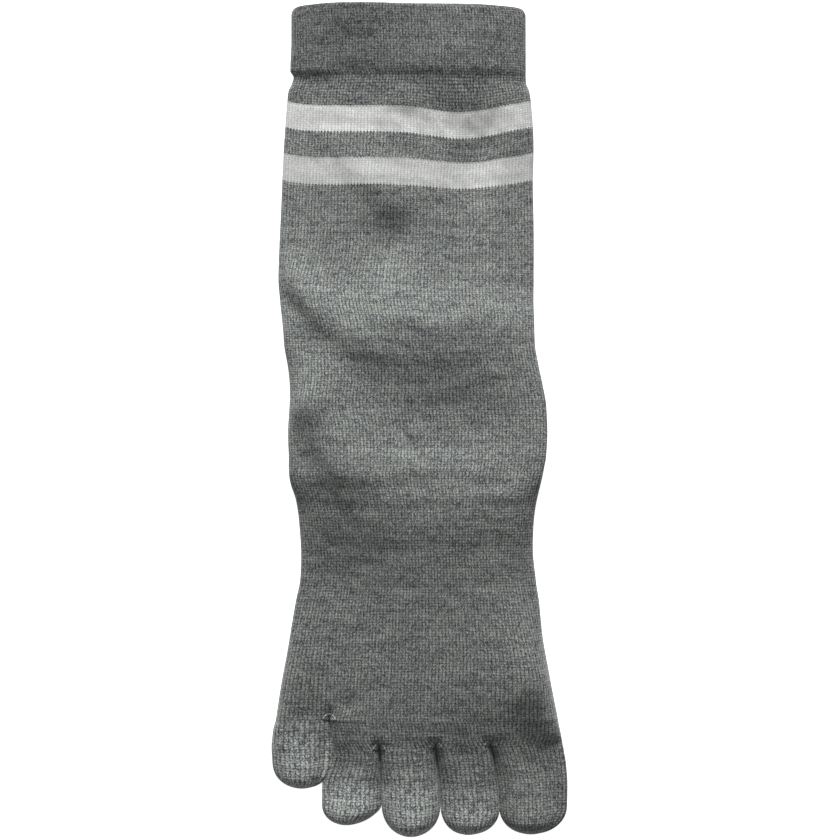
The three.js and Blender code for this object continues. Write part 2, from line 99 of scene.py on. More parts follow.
class SmoothCurve:
    """A curve through points that rises and falls only where they do."""

    def __init__(self, places: Sequence[float], values: Sequence[float]) -> None:
        """Works out the tangents.

        Args:
            places: Where the points lie, in rising order.
            values: The curve's value at each place.
        """
        self.places = np.array(places, float)
        self.values = np.array(values, float)
        slopes = np.diff(self.values) / np.diff(self.places)
        before, after = slopes[:-1], slopes[1:]
        together = before * after > 0
        total = np.where(together, before + after, 1.0)
        inner = np.where(together, 2 * before * after / total, 0.0)
        self.tangents = np.concatenate([slopes[:1], inner, slopes[-1:]])

    def __call__(self, place: Values | float) -> Values:
        """Reads the curve.

        Args:
            place: Where to read it. Past either end it keeps the end's value.

        Returns:
            The curve's value at each place.
        """
        p = np.clip(place, self.places[0], self.places[-1])
        i = np.clip(np.searchsorted(self.places, p) - 1, 0, len(self.places) - 2)
        span = self.places[i + 1] - self.places[i]
        t = (p - self.places[i]) / span
        return (
            self.values[i] * (1 + 2 * t) * (1 - t) ** 2
            + self.tangents[i] * span * t * (1 - t) ** 2
            + self.values[i + 1] * t * t * (3 - 2 * t)
            + self.tangents[i + 1] * span * t * t * (t - 1)
        )


class Yarn(Enum):
    """The record's material slots."""

    MARL = "grey_marl"
    RIB = "grey_rib"
    WHITE = "white_yarn"


@dataclass(frozen=True)
class Zone:
    """A stretch of the knitted tube, between two seams or changes of yarn."""

    name: str
    start: float
    length: float
    yarn: Yarn
    toothed_start: bool = False
    toothed_end: bool = False

    @property
    def end(self) -> float:
        """The distance of its last course."""
        return self.start + self.length


@dataclass(frozen=True)
class FormRow:
    """The flat outline and inner height at one place.

    wide is a share of the named width in of, aside of the leg's width and room of its inner height.
    """

    zone: str
    at: float
    of: float
    wide: float
    aside: float
    room: float
    sag: float


@dataclass(frozen=True)
class Fold:
    """A crest across the front, or a hollow where high is negative, along a line at turn degrees from +X.

    across is measured from the sock's middle and down from the cuff's mouth, all in millimetres.
    """

    across: float
    down: float
    turn: float
    long: float
    cuff_side: float
    toe_side: float
    high: float


@dataclass(frozen=True)
class Toe:
    """One toe pocket: its outline is in shares of its length and of its mouth's width."""

    name: str
    start: float
    end: float
    length: float
    wales: int
    room: float
    belly: float
    tip_start: float
    tip_aside: float
    edges: tuple[tuple[float, float, float], ...]
    courses_ahead: int = 0


@dataclass
class Section:
    """A cut across a tube or pocket.

    edge is half the height of its folded edges, and rise gives how far its top stands over them.
    lobes are the toes' shares of it and their wales, and gather how far its wales lean into them.
    """

    centre: float
    half: float
    base: float
    edge: float
    rise: Callable[[Values], Values]
    slant: Callable[[Values, bool], Values]
    round_left: float
    round_right: float
    flat_bottom: float = 1.0
    rounded: float = 1.0
    lobes: tuple[ToeShare, ...] = ()
    gather: float = 0.0


@dataclass
class SockShape:
    """The sock's named sizes, and the curves that they give.

    Lengths are in millimetres. A dome or an edge is the power of its curve: the higher, the boxier.
    """

    wall: float = 1.4
    cuff_wall: float = 2.0
    fold_room: float = 0.25
    seam_gap: float = 0.3
    side_press: float = 0.42
    cuff_length: float = 26.2
    top_band_length: float = 10.3
    upper_stripe_length: float = 9.7
    mid_band_length: float = 9.7
    lower_stripe_length: float = 10.1
    leg_length: float = 108.0
    foot_length: float = 93.6
    toe_base_length: float = 10.0
    cuff_width: float = 88.2
    leg_width: float = 95.5
    heel_width: float = 97.2
    waist_width: float = 87.3
    ball_width: float = 108.6
    leg_room: float = 7.6
    heel_room: float = 0.8
    heel_length: float = 46.0
    heel_ramp: float = 21.0
    heel_lead: float = 3.0
    heel_fade: float = 15.0
    mouth_corner: float = 3.0
    mouth_tilt: float = 0.6
    back_rise: float = 2.0
    mouth_reach: float = 6.0
    toe_line_slope: float = 0.036
    sag_rise: float = 1.2
    sag_even: float = 2.6
    sag_right_middle: float = 0.4
    sag_right_reach: float = 0.31
    sag_edge: float = 6.0
    fold_edge: float = 10.0
    toe_fold_edge: float = 8.0
    dome_body: float = 3.2
    dome_toe: float = 2.5
    dome_ball: float = 18.0
    dome_crotch: float = 6.0
    dome_fade: float = 15.0
    tip_round: float = 2.2
    belly_place: float = 0.78
    tip_top_round: float = 6.0
    tip_swell: float = 0.6
    swell_place: float = 0.93
    swell_reach: float = 0.2
    tip_bottom_round: float = 3.0
    pinched: float = 0.05
    hem_start: float = 21.5
    hem_step: float = 9.0
    welt_high: float = 0.1
    welt_reach: float = 1.3
    notch_deep: float = 0.12
    notch_past: float = 0.9
    notch_reach: float = 0.8
    ripple_long: float = 11.0
    ripple_high: float = 0.16
    ripple_turns: tuple[float, float] = (0, math.pi)
    course_ripple_long: float = 3.6
    course_ripple_high: float = 0.035
    course_ripple_turns: tuple[float, float] = (1.4, 1.75)
    wales_across: int = 80
    # Shares of the foot's and the toe base's length from which they turn into the toes
    foot_boxed_from: float = 0.4
    foot_gathered_from: float = 0.5
    foot_parted_from: float = 0.94
    base_parted_from: float = 0.55
    base_edge_opens: float = 0.3
    form: tuple[FormRow, ...] = ()
    folds: tuple[Fold, ...] = ()
    toes: tuple[Toe, ...] = ()
    zones: dict[str, Zone] = field(default_factory=dict)

    def __post_init__(self) -> None:
        """Lays the zones end to end and fits the curves."""
        self.form = self.form or form_rows(self)
        self.folds = self.folds or FOLDS
        self.toes = self.toes or TOES
        plan = (
            ("cuff", self.cuff_length, Yarn.RIB),
            ("top_band", self.top_band_length, Yarn.MARL),
            ("stripe_upper", self.upper_stripe_length, Yarn.WHITE),
            ("mid_band", self.mid_band_length, Yarn.MARL),
            ("stripe_lower", self.lower_stripe_length, Yarn.WHITE),
            ("leg", self.leg_length, Yarn.MARL),
            ("foot", self.foot_length, Yarn.MARL),
            ("toe_base", self.toe_base_length, Yarn.MARL),
        )
        reached = 0.0
        for place, (name, length, yarn) in enumerate(plan):
            before = plan[place - 1][2] if place else yarn
            after = plan[place + 1][2] if place + 1 < len(plan) else yarn
            toothed = [Yarn.WHITE in (yarn, other) and yarn is not other for other in (before, after)]
            self.zones[name] = Zone(name, reached, length, yarn, *toothed)
            reached += length
        self.reached = reached
        self.ankle = self.zones["foot"].start
        places = [self.place_of(row) for row in self.form]
        self.half_at = SmoothCurve(places, [row.of * row.wide / 2 for row in self.form])
        self.centre_at = SmoothCurve(places, [row.aside * self.leg_width for row in self.form])
        self.room_at = SmoothCurve(places, [row.room * self.leg_room for row in self.form])
        self.sag_at = SmoothCurve(places, [row.sag for row in self.form])
        self.sag_right_at = SmoothCurve(*zip(*SAG_RIGHT))
        self.ripples = Ripples(self.ripple_long, self.ripple_turns, seed=7)
        self.course_ripples = Ripples(self.course_ripple_long, self.course_ripple_turns, seed=11)
        little = self.toes[0]
        self.little_width = 2 * self.half_at(self.zones["toe_base"].start) * (little.end - little.start)
        self.little_side = SmoothCurve([e[0] for e in little.edges], [e[2] for e in little.edges])
        self.toe_line = [float(self.little_side_at(reached))]
        self.toe_line += [float(self.ball_place(reached, toe.end)) for toe in self.toes[1:]]

    def place_of(self, row: FormRow) -> float:
        """Returns the distance along the knit of a table's row."""
        zone = self.zones[row.zone]
        return zone.start + zone.length * row.at

    @property
    def heel_high(self) -> float:
        """The height of the folded heel's two layers."""
        return 2 * self.wall + self.heel_room

    def leg_lift(self, distance: float) -> float:
        """Works out the leg's height on the folded heel.

        Args:
            distance: The distance along the knit.

        Returns:
            How far the heel lifts the leg that lies on it.
        """
        tip = self.ankle - self.heel_length
        ramp = (distance - tip + self.heel_ramp + self.heel_lead) / self.heel_ramp
        return (self.heel_high + self.seam_gap) * float(smooth(ramp))

    def foot_lift(self, distance: float) -> float:
        """Returns how much higher the foot's end stands beside the fold."""
        past = float(smooth((distance - self.ankle) / self.heel_fade))
        return (self.heel_high + self.seam_gap) * (1 - past)

    def fold_lift(self, x: Values, distance: Values | float) -> Values:
        """Adds up the folds and small ripples of the front.

        Args:
            x: Places across the sock.
            distance: Distances along the knit.

        Returns:
            How far the front is lifted at each place.
        """
        y = -np.asarray(distance, float)
        total = np.zeros(np.broadcast(x, y).shape)
        for fold in self.folds:
            turn = math.radians(fold.turn)
            dx, dy = x - fold.across, y + fold.down
            beside = dy * math.cos(turn) - dx * math.sin(turn)
            along = (dx * math.cos(turn) + dy * math.sin(turn)) / fold.long
            width = np.where(beside > 0, fold.cuff_side, fold.toe_side)
            total += fold.high * np.exp(-along * along - (beside / width) ** 2)
        total += self.ripple_high * self.ripples(x, y)
        return total + self.course_ripple_high * self.course_ripples(x, y)

    def ball_left(self, distance: float) -> float:
        """Returns where the tube's little-toe side lies."""
        return float(self.centre_at(distance) - self.half_at(distance))

    def ball_place(self, distance: float, share: float) -> float:
        """Returns the place at a share of the width from the little toe's side."""
        return self.ball_left(distance) + 2 * float(self.half_at(distance)) * share

    def little_side_at(self, distance: float) -> float:
        """Finds the little toe's inner side, which the toe base lies against.

        Args:
            distance: The distance along the knit.

        Returns:
            Where that side lies across the sock.
        """
        toe = self.toes[0]
        mouth = self.zones["toe_base"].start
        share = 0.5 + float(self.little_side((distance - mouth) / toe.length))
        return self.ball_place(mouth, toe.start) + self.little_width * share

    def course_sag(self, distance: float, share: Values) -> Values:
        """Works out the sag of one course.

        Args:
            distance: The distance along the knit.
            share: Places across the course, -1 to 1.

        Returns:
            How far the course has slipped towards the toes at each place.
        """
        aside = (share - self.sag_right_middle) / self.sag_right_reach
        right = self.sag_right_at(distance) * np.exp(-(aside**2))
        return (self.sag_at(distance) * self.sag_even + right) * off_edge(share, self.sag_edge)

    def mouth_shift(self, distance: float, share: Values, on_top: bool) -> Values:
        """Works out the lean of the mouth, and the back's stand past the front.

        Args:
            distance: The distance along the knit.
            share: Places across the course, -1 to 1.
            on_top: Whether the places lie on the front.

        Returns:
            How far each place moves towards the cuff.
        """
        near = 1 - smooth(distance / self.mouth_reach)
        behind = 0.0 if on_top else self.back_rise * off_edge(share, self.sag_edge)
        return near * (-self.mouth_tilt * share / 2 + behind)

    def mouth_narrowing(self, distance: float) -> float:
        """Returns how far the mouth's corners are rounded off."""
        left = min(max(self.mouth_corner - distance, 0), self.mouth_corner)
        return self.mouth_corner - math.sqrt(self.mouth_corner**2 - left**2)

    def thick_at(self, distance: float) -> float:
        """Returns the wall, which steps down where the cuff's double layer ends."""
        past = smooth((distance - self.hem_start) / self.hem_step)
        return float(mix(self.cuff_wall, self.wall, past))

    def welt_line(self, distance: float) -> float:
        """Works out the bulge of the cuff's last courses and the notch below its hem.

        Args:
            distance: The distance along the knit.

        Returns:
            How far they lift the front there.
        """
        past = distance - self.cuff_length
        bulge = self.welt_high * math.exp(-(((past + self.welt_reach) / self.welt_reach) ** 2))
        notch = self.notch_deep * math.exp(-(((past - self.notch_past) / self.notch_reach) ** 2))
        return bulge - notch

    def lobe_rise(self, lobes: Sequence[Lobe], share: Values) -> Values:
        """Works out a section that is divided into lobes.

        Args:
            lobes: Each lobe's first and last share, inner height and dome's power.
            share: Places across the section, -1 to 1.

        Returns:
            How high the section stands over its folded edges.
        """
        total = np.zeros_like(share)
        for start, end, room, dome in lobes:
            local = 2 * (share - start) / (end - start) - 1
            inside = (share >= start) & (share <= end)
            high = max(0.0, room - 2 * self.fold_room) * off_edge(local, dome)
            total = np.where(inside, high, total)
        return total

    def lobe_share(self, lobes: Sequence[Lobe], share: Values) -> Values:
        """Finds each place's share of its own lobe.

        Args:
            lobes: Each lobe's first and last share, inner height and dome's power.
            share: Places across the section, -1 to 1.

        Returns:
            For each place, -1 to 1 across the lobe that it lies in.
        """
        local = np.zeros_like(share)
        for start, end, _, _ in lobes:
            inside = (share >= start) & (share <= end)
            local = np.where(inside, 2 * (share - start) / (end - start) - 1, local)
        return local

    def top_point(self, zone: Zone, x: float, distance: float) -> tuple[float, float, float]:
        """Finds a place on the front of the knit.

        Args:
            zone: The zone that it lies in.
            x: Its place across the sock.
            distance: Its distance along the knit.

        Returns:
            Its x, y and z.
        """
        section = self.body_section(zone, distance)
        share = np.array([(x - section.centre) / section.half])
        high = section.base + 2 * section.edge + float(section.rise(share)[0])
        return x, float(section.slant(share, True)[0]), high

    def toe_lobes(self, zone: Zone, room: float) -> tuple[list[Lobe], tuple[ToeShare, ...]]:
        """Divides the front of the foot or of the toe base into the toes' lobes.

        Args:
            zone: The foot, where only the little toe parts, or the toe base, where the others do.
            room: The inner height of the tube.

        Returns:
            The lobes, and each toe's first and last share with its wales.
        """
        if zone.name == "foot":
            little = self.toes[0]
            part = 2 * little.end - 1
            front = [
                (-1.0, part, little.room * self.leg_room, self.dome_crotch),
                (part, 1.0, room, self.dome_ball),
            ]
            return front, tuple((2 * toe.start - 1, 2 * toe.end - 1, toe.wales) for toe in self.toes)
        start, end = self.toe_line[0], self.toe_line[-1]
        marks = [2 * (place - start) / (end - start) - 1 for place in self.toe_line]
        spans = list(zip(self.toes[1:], marks, marks[1:]))
        front = [(low, high, toe.room * self.leg_room, self.dome_crotch) for toe, low, high in spans]
        return front, tuple((low, high, toe.wales) for toe, low, high in spans)

    def body_section(self, zone: Zone, distance: float) -> Section:
        """Works out the cut across a zone of the tube.

        The foot and the toe base turn from one dome into a lobe for each toe.

        Args:
            zone: The zone to cut.
            distance: The distance along the knit.

        Returns:
            The section.
        """
        is_foot, is_base = zone.name == "foot", zone.name == "toe_base"
        divided = is_foot or is_base
        right = float(self.centre_at(distance) + self.half_at(distance))
        left = self.little_side_at(distance) if is_base else self.ball_left(distance)
        centre = (left + right) / 2
        half = (right - left) / 2 - self.mouth_narrowing(distance)
        room = float(self.room_at(distance))
        along = (distance - zone.start) / zone.length
        front, toe_shares = self.toe_lobes(zone, room) if divided else ([], ())
        boxed, parting, gather = 0.0, 0.0, 0.0
        if is_foot:
            boxed = smooth_from(self.foot_boxed_from, along)
            parting = smooth_from(self.foot_parted_from, along)
            gather = smooth_from(self.foot_gathered_from, along)
        if is_base:
            boxed, gather = 1.0, 1.0
            parting = smooth_from(self.base_parted_from, along)
        rear = [(-1.0, 1.0, room, float(mix(self.dome_body, self.dome_ball, boxed)))]
        lift = self.foot_lift(distance) if divided else 0.0
        edge = self.thick_at(distance) + self.fold_room + lift / 2
        slope = self.toe_line_slope * float(smooth(along)) if is_base else 0.0
        level = self.welt_line(distance)
        opened = smooth(along / self.base_edge_opens) if is_base else 1.0
        beside_little = float(mix(self.pinched, edge, opened))
        rounding = edge
        if divided:
            thin = self.thick_at(distance) + self.fold_room
            rounding = float(mix(thin, edge, smooth((distance - self.ankle) / self.heel_fade)))

        def rise(share: Values) -> Values:
            """Works out the top's height.

            Args:
                share: Places across the section, -1 to 1.

            Returns:
                The height over the folded edges at each place.
            """
            high, keep = self.lobe_rise(rear, share), off_edge(share, self.fold_edge)
            if divided:
                high = mix(high, self.lobe_rise(front, share), parting)
                parted = off_edge(self.lobe_share(front, share), self.toe_fold_edge)
                keep = mix(keep, parted, parting)
            lift_here = self.fold_lift(centre + half * share, distance - slope * half * share)
            return high + (lift_here + level) * keep

        def slant(share: Values, on_top: bool) -> Values:
            """Works out the lean of the course.

            Args:
                share: Places across the section, -1 to 1.
                on_top: Whether they lie on the front.

            Returns:
                Where each place lies along the sock.
            """
            sag = self.course_sag(distance, share) if on_top else 0.0
            sag = sag - self.sag_rise * self.sag_at(distance)
            return -distance + self.mouth_shift(distance, share, on_top) - sag + slope * half * share

        return Section(
            centre=centre,
            half=half,
            base=0.0 if divided else self.leg_lift(distance),
            edge=edge,
            rise=rise,
            slant=slant,
            round_left=min(rounding, beside_little),
            round_right=rounding,
            lobes=toe_shares,
            gather=gather,
        )


class Ripples:
    """Smooth seeded unevenness of the cloth, about -1 to 1."""

    waves = 26
    octaves = (-1.2, 1.3)

    def __init__(self, long: float, turns: tuple[float, float], seed: int) -> None:
        """Draws the waves.

        Args:
            long: Typical length of a wave in millimetres.
            turns: Between which angles from +X the waves run, in radians.
            seed: Seed of the draw.
        """
        draw = np.random.default_rng(seed)
        self.turns = draw.uniform(*turns, self.waves)
        self.lengths = long * 2 ** draw.uniform(*self.octaves, self.waves)
        self.phases = draw.uniform(0, 2 * math.pi, self.waves)

    def __call__(self, x: Values, y: Values) -> Values:
        """Adds up the waves.

        Args:
            x: Places across the sock.
            y: Places along it.

        Returns:
            The unevenness at each place.
        """
        total = np.zeros(np.broadcast(x, y).shape)
        for turn, length, phase in zip(self.turns, self.lengths, self.phases):
            wave = 2 * math.pi / length
            total += np.sin(wave * (x * math.cos(turn) + y * math.sin(turn)) + phase)
        return total / math.sqrt(len(self.turns))


def form_rows(sizes: SockShape) -> tuple[FormRow, ...]:
    """Sets out the outline's table.

    Args:
        sizes: The sock's named sizes.

    Returns:
        The rows, with each width a share of the named width beside it.
    """
    cuff, leg, heel = sizes.cuff_width, sizes.leg_width, sizes.heel_width
    waist, ball = sizes.waist_width, sizes.ball_width
    return (
        FormRow("cuff", 0, cuff, 1, -0.043, 0.78, 0),
        FormRow("cuff", 0.5, cuff, 1, -0.043, 0.78, 0),
        FormRow("cuff", 0.92, cuff, 1.005, -0.045, 0.8, 0),
        FormRow("top_band", 0, cuff, 0.99, -0.038, 0.82, 0),
        FormRow("top_band", 0.25, cuff, 1, -0.041, 0.86, 0.2),
        FormRow("top_band", 0.6, leg, 0.95, -0.042, 0.88, 0.8),
        FormRow("stripe_upper", 0, leg, 0.961, -0.041, 0.9, 1),
        FormRow("mid_band", 0, leg, 0.977, -0.041, 0.9, 1),
        FormRow("stripe_lower", 0, leg, 0.986, -0.043, 0.9, 1),
        FormRow("leg", 0, leg, 0.988, -0.047, 0.9, 0.9),
        FormRow("leg", 0.14, leg, 0.998, -0.049, 0.88, 0.5),
        FormRow("leg", 0.23, leg, 1.004, -0.051, 0.9, 0.2),
        FormRow("leg", 0.33, leg, 1.007, -0.053, 1.03, 0),
        FormRow("leg", 0.41, leg, 0.998, -0.05, 1.18, 0),
        FormRow("leg", 0.48, leg, 0.99, -0.044, 1.1, 0),
        FormRow("leg", 0.53, leg, 0.985, -0.041, 0.9, 0),
        FormRow("leg", 0.57, leg, 0.984, -0.038, 0.81, 0),
        FormRow("leg", 0.63, leg, 0.984, -0.026, 0.78, 0),
        FormRow("leg", 0.7, leg, 0.992, -0.013, 0.76, 0),
        FormRow("leg", 0.775, heel, 0.99, -0.006, 0.75, 0),
        FormRow("leg", 0.87, heel, 1, -0.007, 0.76, 0),
        FormRow("leg", 0.95, heel, 0.992, -0.008, 0.78, 0),
        FormRow("foot", 0, heel, 0.982, -0.013, 0.8, 0),
        FormRow("foot", 0.05, heel, 0.967, -0.015, 0.87, 0),
        FormRow("foot", 0.12, heel, 0.932, -0.012, 1.12, 0),
        FormRow("foot", 0.2, waist, 1.013, -0.012, 1.23, 0),
        FormRow("foot", 0.32, waist, 1, -0.01, 1.08, 0),
        FormRow("foot", 0.44, waist, 1.017, -0.006, 0.98, 0),
        FormRow("foot", 0.52, ball, 0.842, -0.008, 0.94, 0),
        FormRow("foot", 0.68, ball, 0.88, -0.013, 0.93, 0),
        FormRow("foot", 0.84, ball, 0.93, -0.013, 0.96, 0),
        FormRow("toe_base", 0, ball, 0.978, -0.01, 0.94, 0),
        FormRow("toe_base", 1, ball, 1.005, -0.008, 0.9, 0),
    )


# How far the courses sag right of the middle: (distance, sag) in millimetres
SAG_RIGHT = ((26, 0.3), (37, 2.7), (46, 2.6), (57, 1.7), (67, 1.5), (90, 0.5), (110, 0))

# Across, down, turn, long, cuff side, toe side, high
FOLDS = (
    # The cuff and its hem
    Fold(-25, 0, 0, 24, 3, 16, 3.5),
    Fold(-36, 19.5, 0, 14, 6, 6, 0.2),
    Fold(-5, 19.5, 0, 22, 8, 11, 1.0),
    Fold(36, 23, 0, 12, 22, 20, 1.0),
    Fold(38, 43, 0, 10, 40, 14, 2.4),
    Fold(26, 23, 0, 14, 1.5, 3, 0.2),
    # The sag beside the stripes, and the drag lines that lead to it
    Fold(11, 25, -20, 13, 30, 9, 3.0),
    Fold(-7, 34.5, 0, 7, 5, 3, 0.9),
    Fold(23, 54, -14, 9, 18, 20, -3.2),
    Fold(-20, 62.5, -50, 17, 9, 6, 1.7),
    Fold(-10, 87, -25, 9, 10, 12, -3.3),
    # The leg where it rides up over the folded heel
    Fold(-46, 106.6, -45, 16, 9, 4.5, 5.0),
    Fold(-8, 124, 0, 18, 13, 12, 1.5),
    Fold(16, 127, -3, 20, 14, 17, 1.4),
    Fold(8, 127, 0, 26, 3, 5, 0.25),
    Fold(-22, 126.3, -27, 12, 6, 6, 1.8),
    Fold(14, 159, 0, 30, 20, 20, -4.4),
    Fold(-41, 142, -40, 12, 13, 8, 3.4),
    # The long crest from the side to the instep
    Fold(-35.2, 163.8, -60, 25, 14, 6.5, 4.2),
    Fold(-19, 178, -15, 9, 6, 5, 0.9),
    Fold(-40, 186, 0, 9, 8, 10, 1.3),
    Fold(-46, 149.5, -25, 8, 6, 7, 4.6),
    # Small creases on the instep
    Fold(-10, 168.4, -1.5, 22, 1.7, 3.2, 0.5),
    Fold(-2.8, 163.6, -52, 12, 1.2, 1.2, -0.65),
    Fold(-3.5, 173.7, 2, 26, 4, 3, 0.5),
    Fold(0, 185, 4, 32, 4.5, 6, 0.7),
    Fold(32, 184, 8, 14, 5, 9, 1.6),
    Fold(42, 192, 0, 11, 10, 18, 2.8),
    Fold(-31.5, 226, -5, 17, 26, 90, -3.9),
    # The ball, which falls away to the toes
    Fold(-26, 261, 0, 9, 2, 2, -0.2),
    Fold(49, 251, 13, 20, 20, 12, 5.8),
    Fold(52, 284, 12, 17, 16, 50, -7.2),
    Fold(17, 289, 4, 10, 18, 50, -4.4),
    Fold(-3, 281, 0, 7, 8, 24, -1.4),
    Fold(-29, 290, 0, 10, 16, 14, -4.2),
    Fold(-44, 265, 0, 8, 12, 18, -1.6),
    # A small crease across the fourth toe
    Fold(-28, 296.5, 0, 7, 1.3, 1.3, -0.3),
)

# Each toe's edges are rows of (at, left, right)
TOES = (
    Toe(
        "toe_little",
        start=0,
        end=0.191,
        length=25.9,
        wales=14,
        room=0.92,
        belly=1.06,
        tip_start=0.62,
        tip_aside=-0.01,
        edges=(
            (0, -0.5, 0.5),
            (0.2, -0.548, 0.529),
            (0.4, -0.571, 0.548),
            (0.6, -0.556, 0.535),
            (1, -0.53, 0.51),
        ),
        courses_ahead=18,
    ),
    Toe(
        "toe_fourth",
        start=0.191,
        end=0.369,
        length=28.2,
        wales=15,
        room=0.9,
        belly=1.14,
        tip_start=0.72,
        tip_aside=-0.237,
        edges=(
            (0, -0.5, 0.5),
            (0.11, -0.51, 0.514),
            (0.22, -0.56, 0.53),
            (0.34, -0.65, 0.536),
            (0.45, -0.7, 0.538),
            (0.75, -0.71, 0.53),
            (0.88, -0.7, 0.45),
            (1, -0.68, 0.39),
        ),
    ),
    Toe(
        "toe_middle",
        start=0.369,
        end=0.562,
        length=33.2,
        wales=16,
        room=0.9,
        belly=1.16,
        tip_start=0.62,
        tip_aside=0.058,
        edges=(
            (0, -0.5, 0.5),
            (0.22, -0.473, 0.535),
            (0.45, -0.456, 0.567),
            (1, -0.45, 0.597),
        ),
    ),
    Toe(
        "toe_second",
        start=0.562,
        end=0.751,
        length=33.4,
        wales=15,
        room=0.9,
        belly=1.08,
        tip_start=0.68,
        tip_aside=0.087,
        edges=(
            (0, -0.5, 0.5),
            (0.15, -0.463, 0.564),
            (0.37, -0.434, 0.619),
            (0.6, -0.403, 0.656),
            (1, -0.38, 0.674),
        ),
        courses_ahead=-8,
    ),
    Toe(
        "toe_big",
        start=0.751,
        end=1,
        length=34.0,
        wales=20,
        room=0.9,
        belly=1.12,
        tip_start=0.7,
        tip_aside=0.061,
        edges=(
            (0, -0.5, 0.5),
            (0.1, -0.453, 0.514),
            (0.22, -0.432, 0.54),
            (0.44, -0.396, 0.561),
            (0.66, -0.372, 0.557),
            (1, -0.358, 0.52),
        ),
        courses_ahead=-24,
    ),
)


@dataclass(frozen=True)
class Relief:
    """How far the wales stand out, as the depth below the outermost yarn in millimetres."""

    groove: float = 0.33
    leg: float = 0.0
    centre: float = 0.1
    alternate: float = 0.0

    def depth(self, wale: Values) -> Values:
        """Works out the relief round a ring.

        Args:
            wale: Places round the ring, counted in wales.

        Returns:
            The depth at each place.
        """
        step = np.round(wale * SAMPLES_PER_WALE).astype(int)
        across = np.array([self.groove, self.leg, self.centre, self.leg])
        sunk = self.alternate * (np.floor(wale).astype(int) % 2) * (step % SAMPLES_PER_WALE != 0)
        return across[step % SAMPLES_PER_WALE] + sunk


@dataclass
class Ring:
    """One closed ring of points, from the left edge over the top to the right and back below."""

    points: Values
    wales: Values


def tooth_wave(wale: Values) -> Values:
    """Returns 1 in the middle of each wale and -1 in the grooves beside it."""
    return 1 - 4 * np.abs(wale % 1 - 0.5)


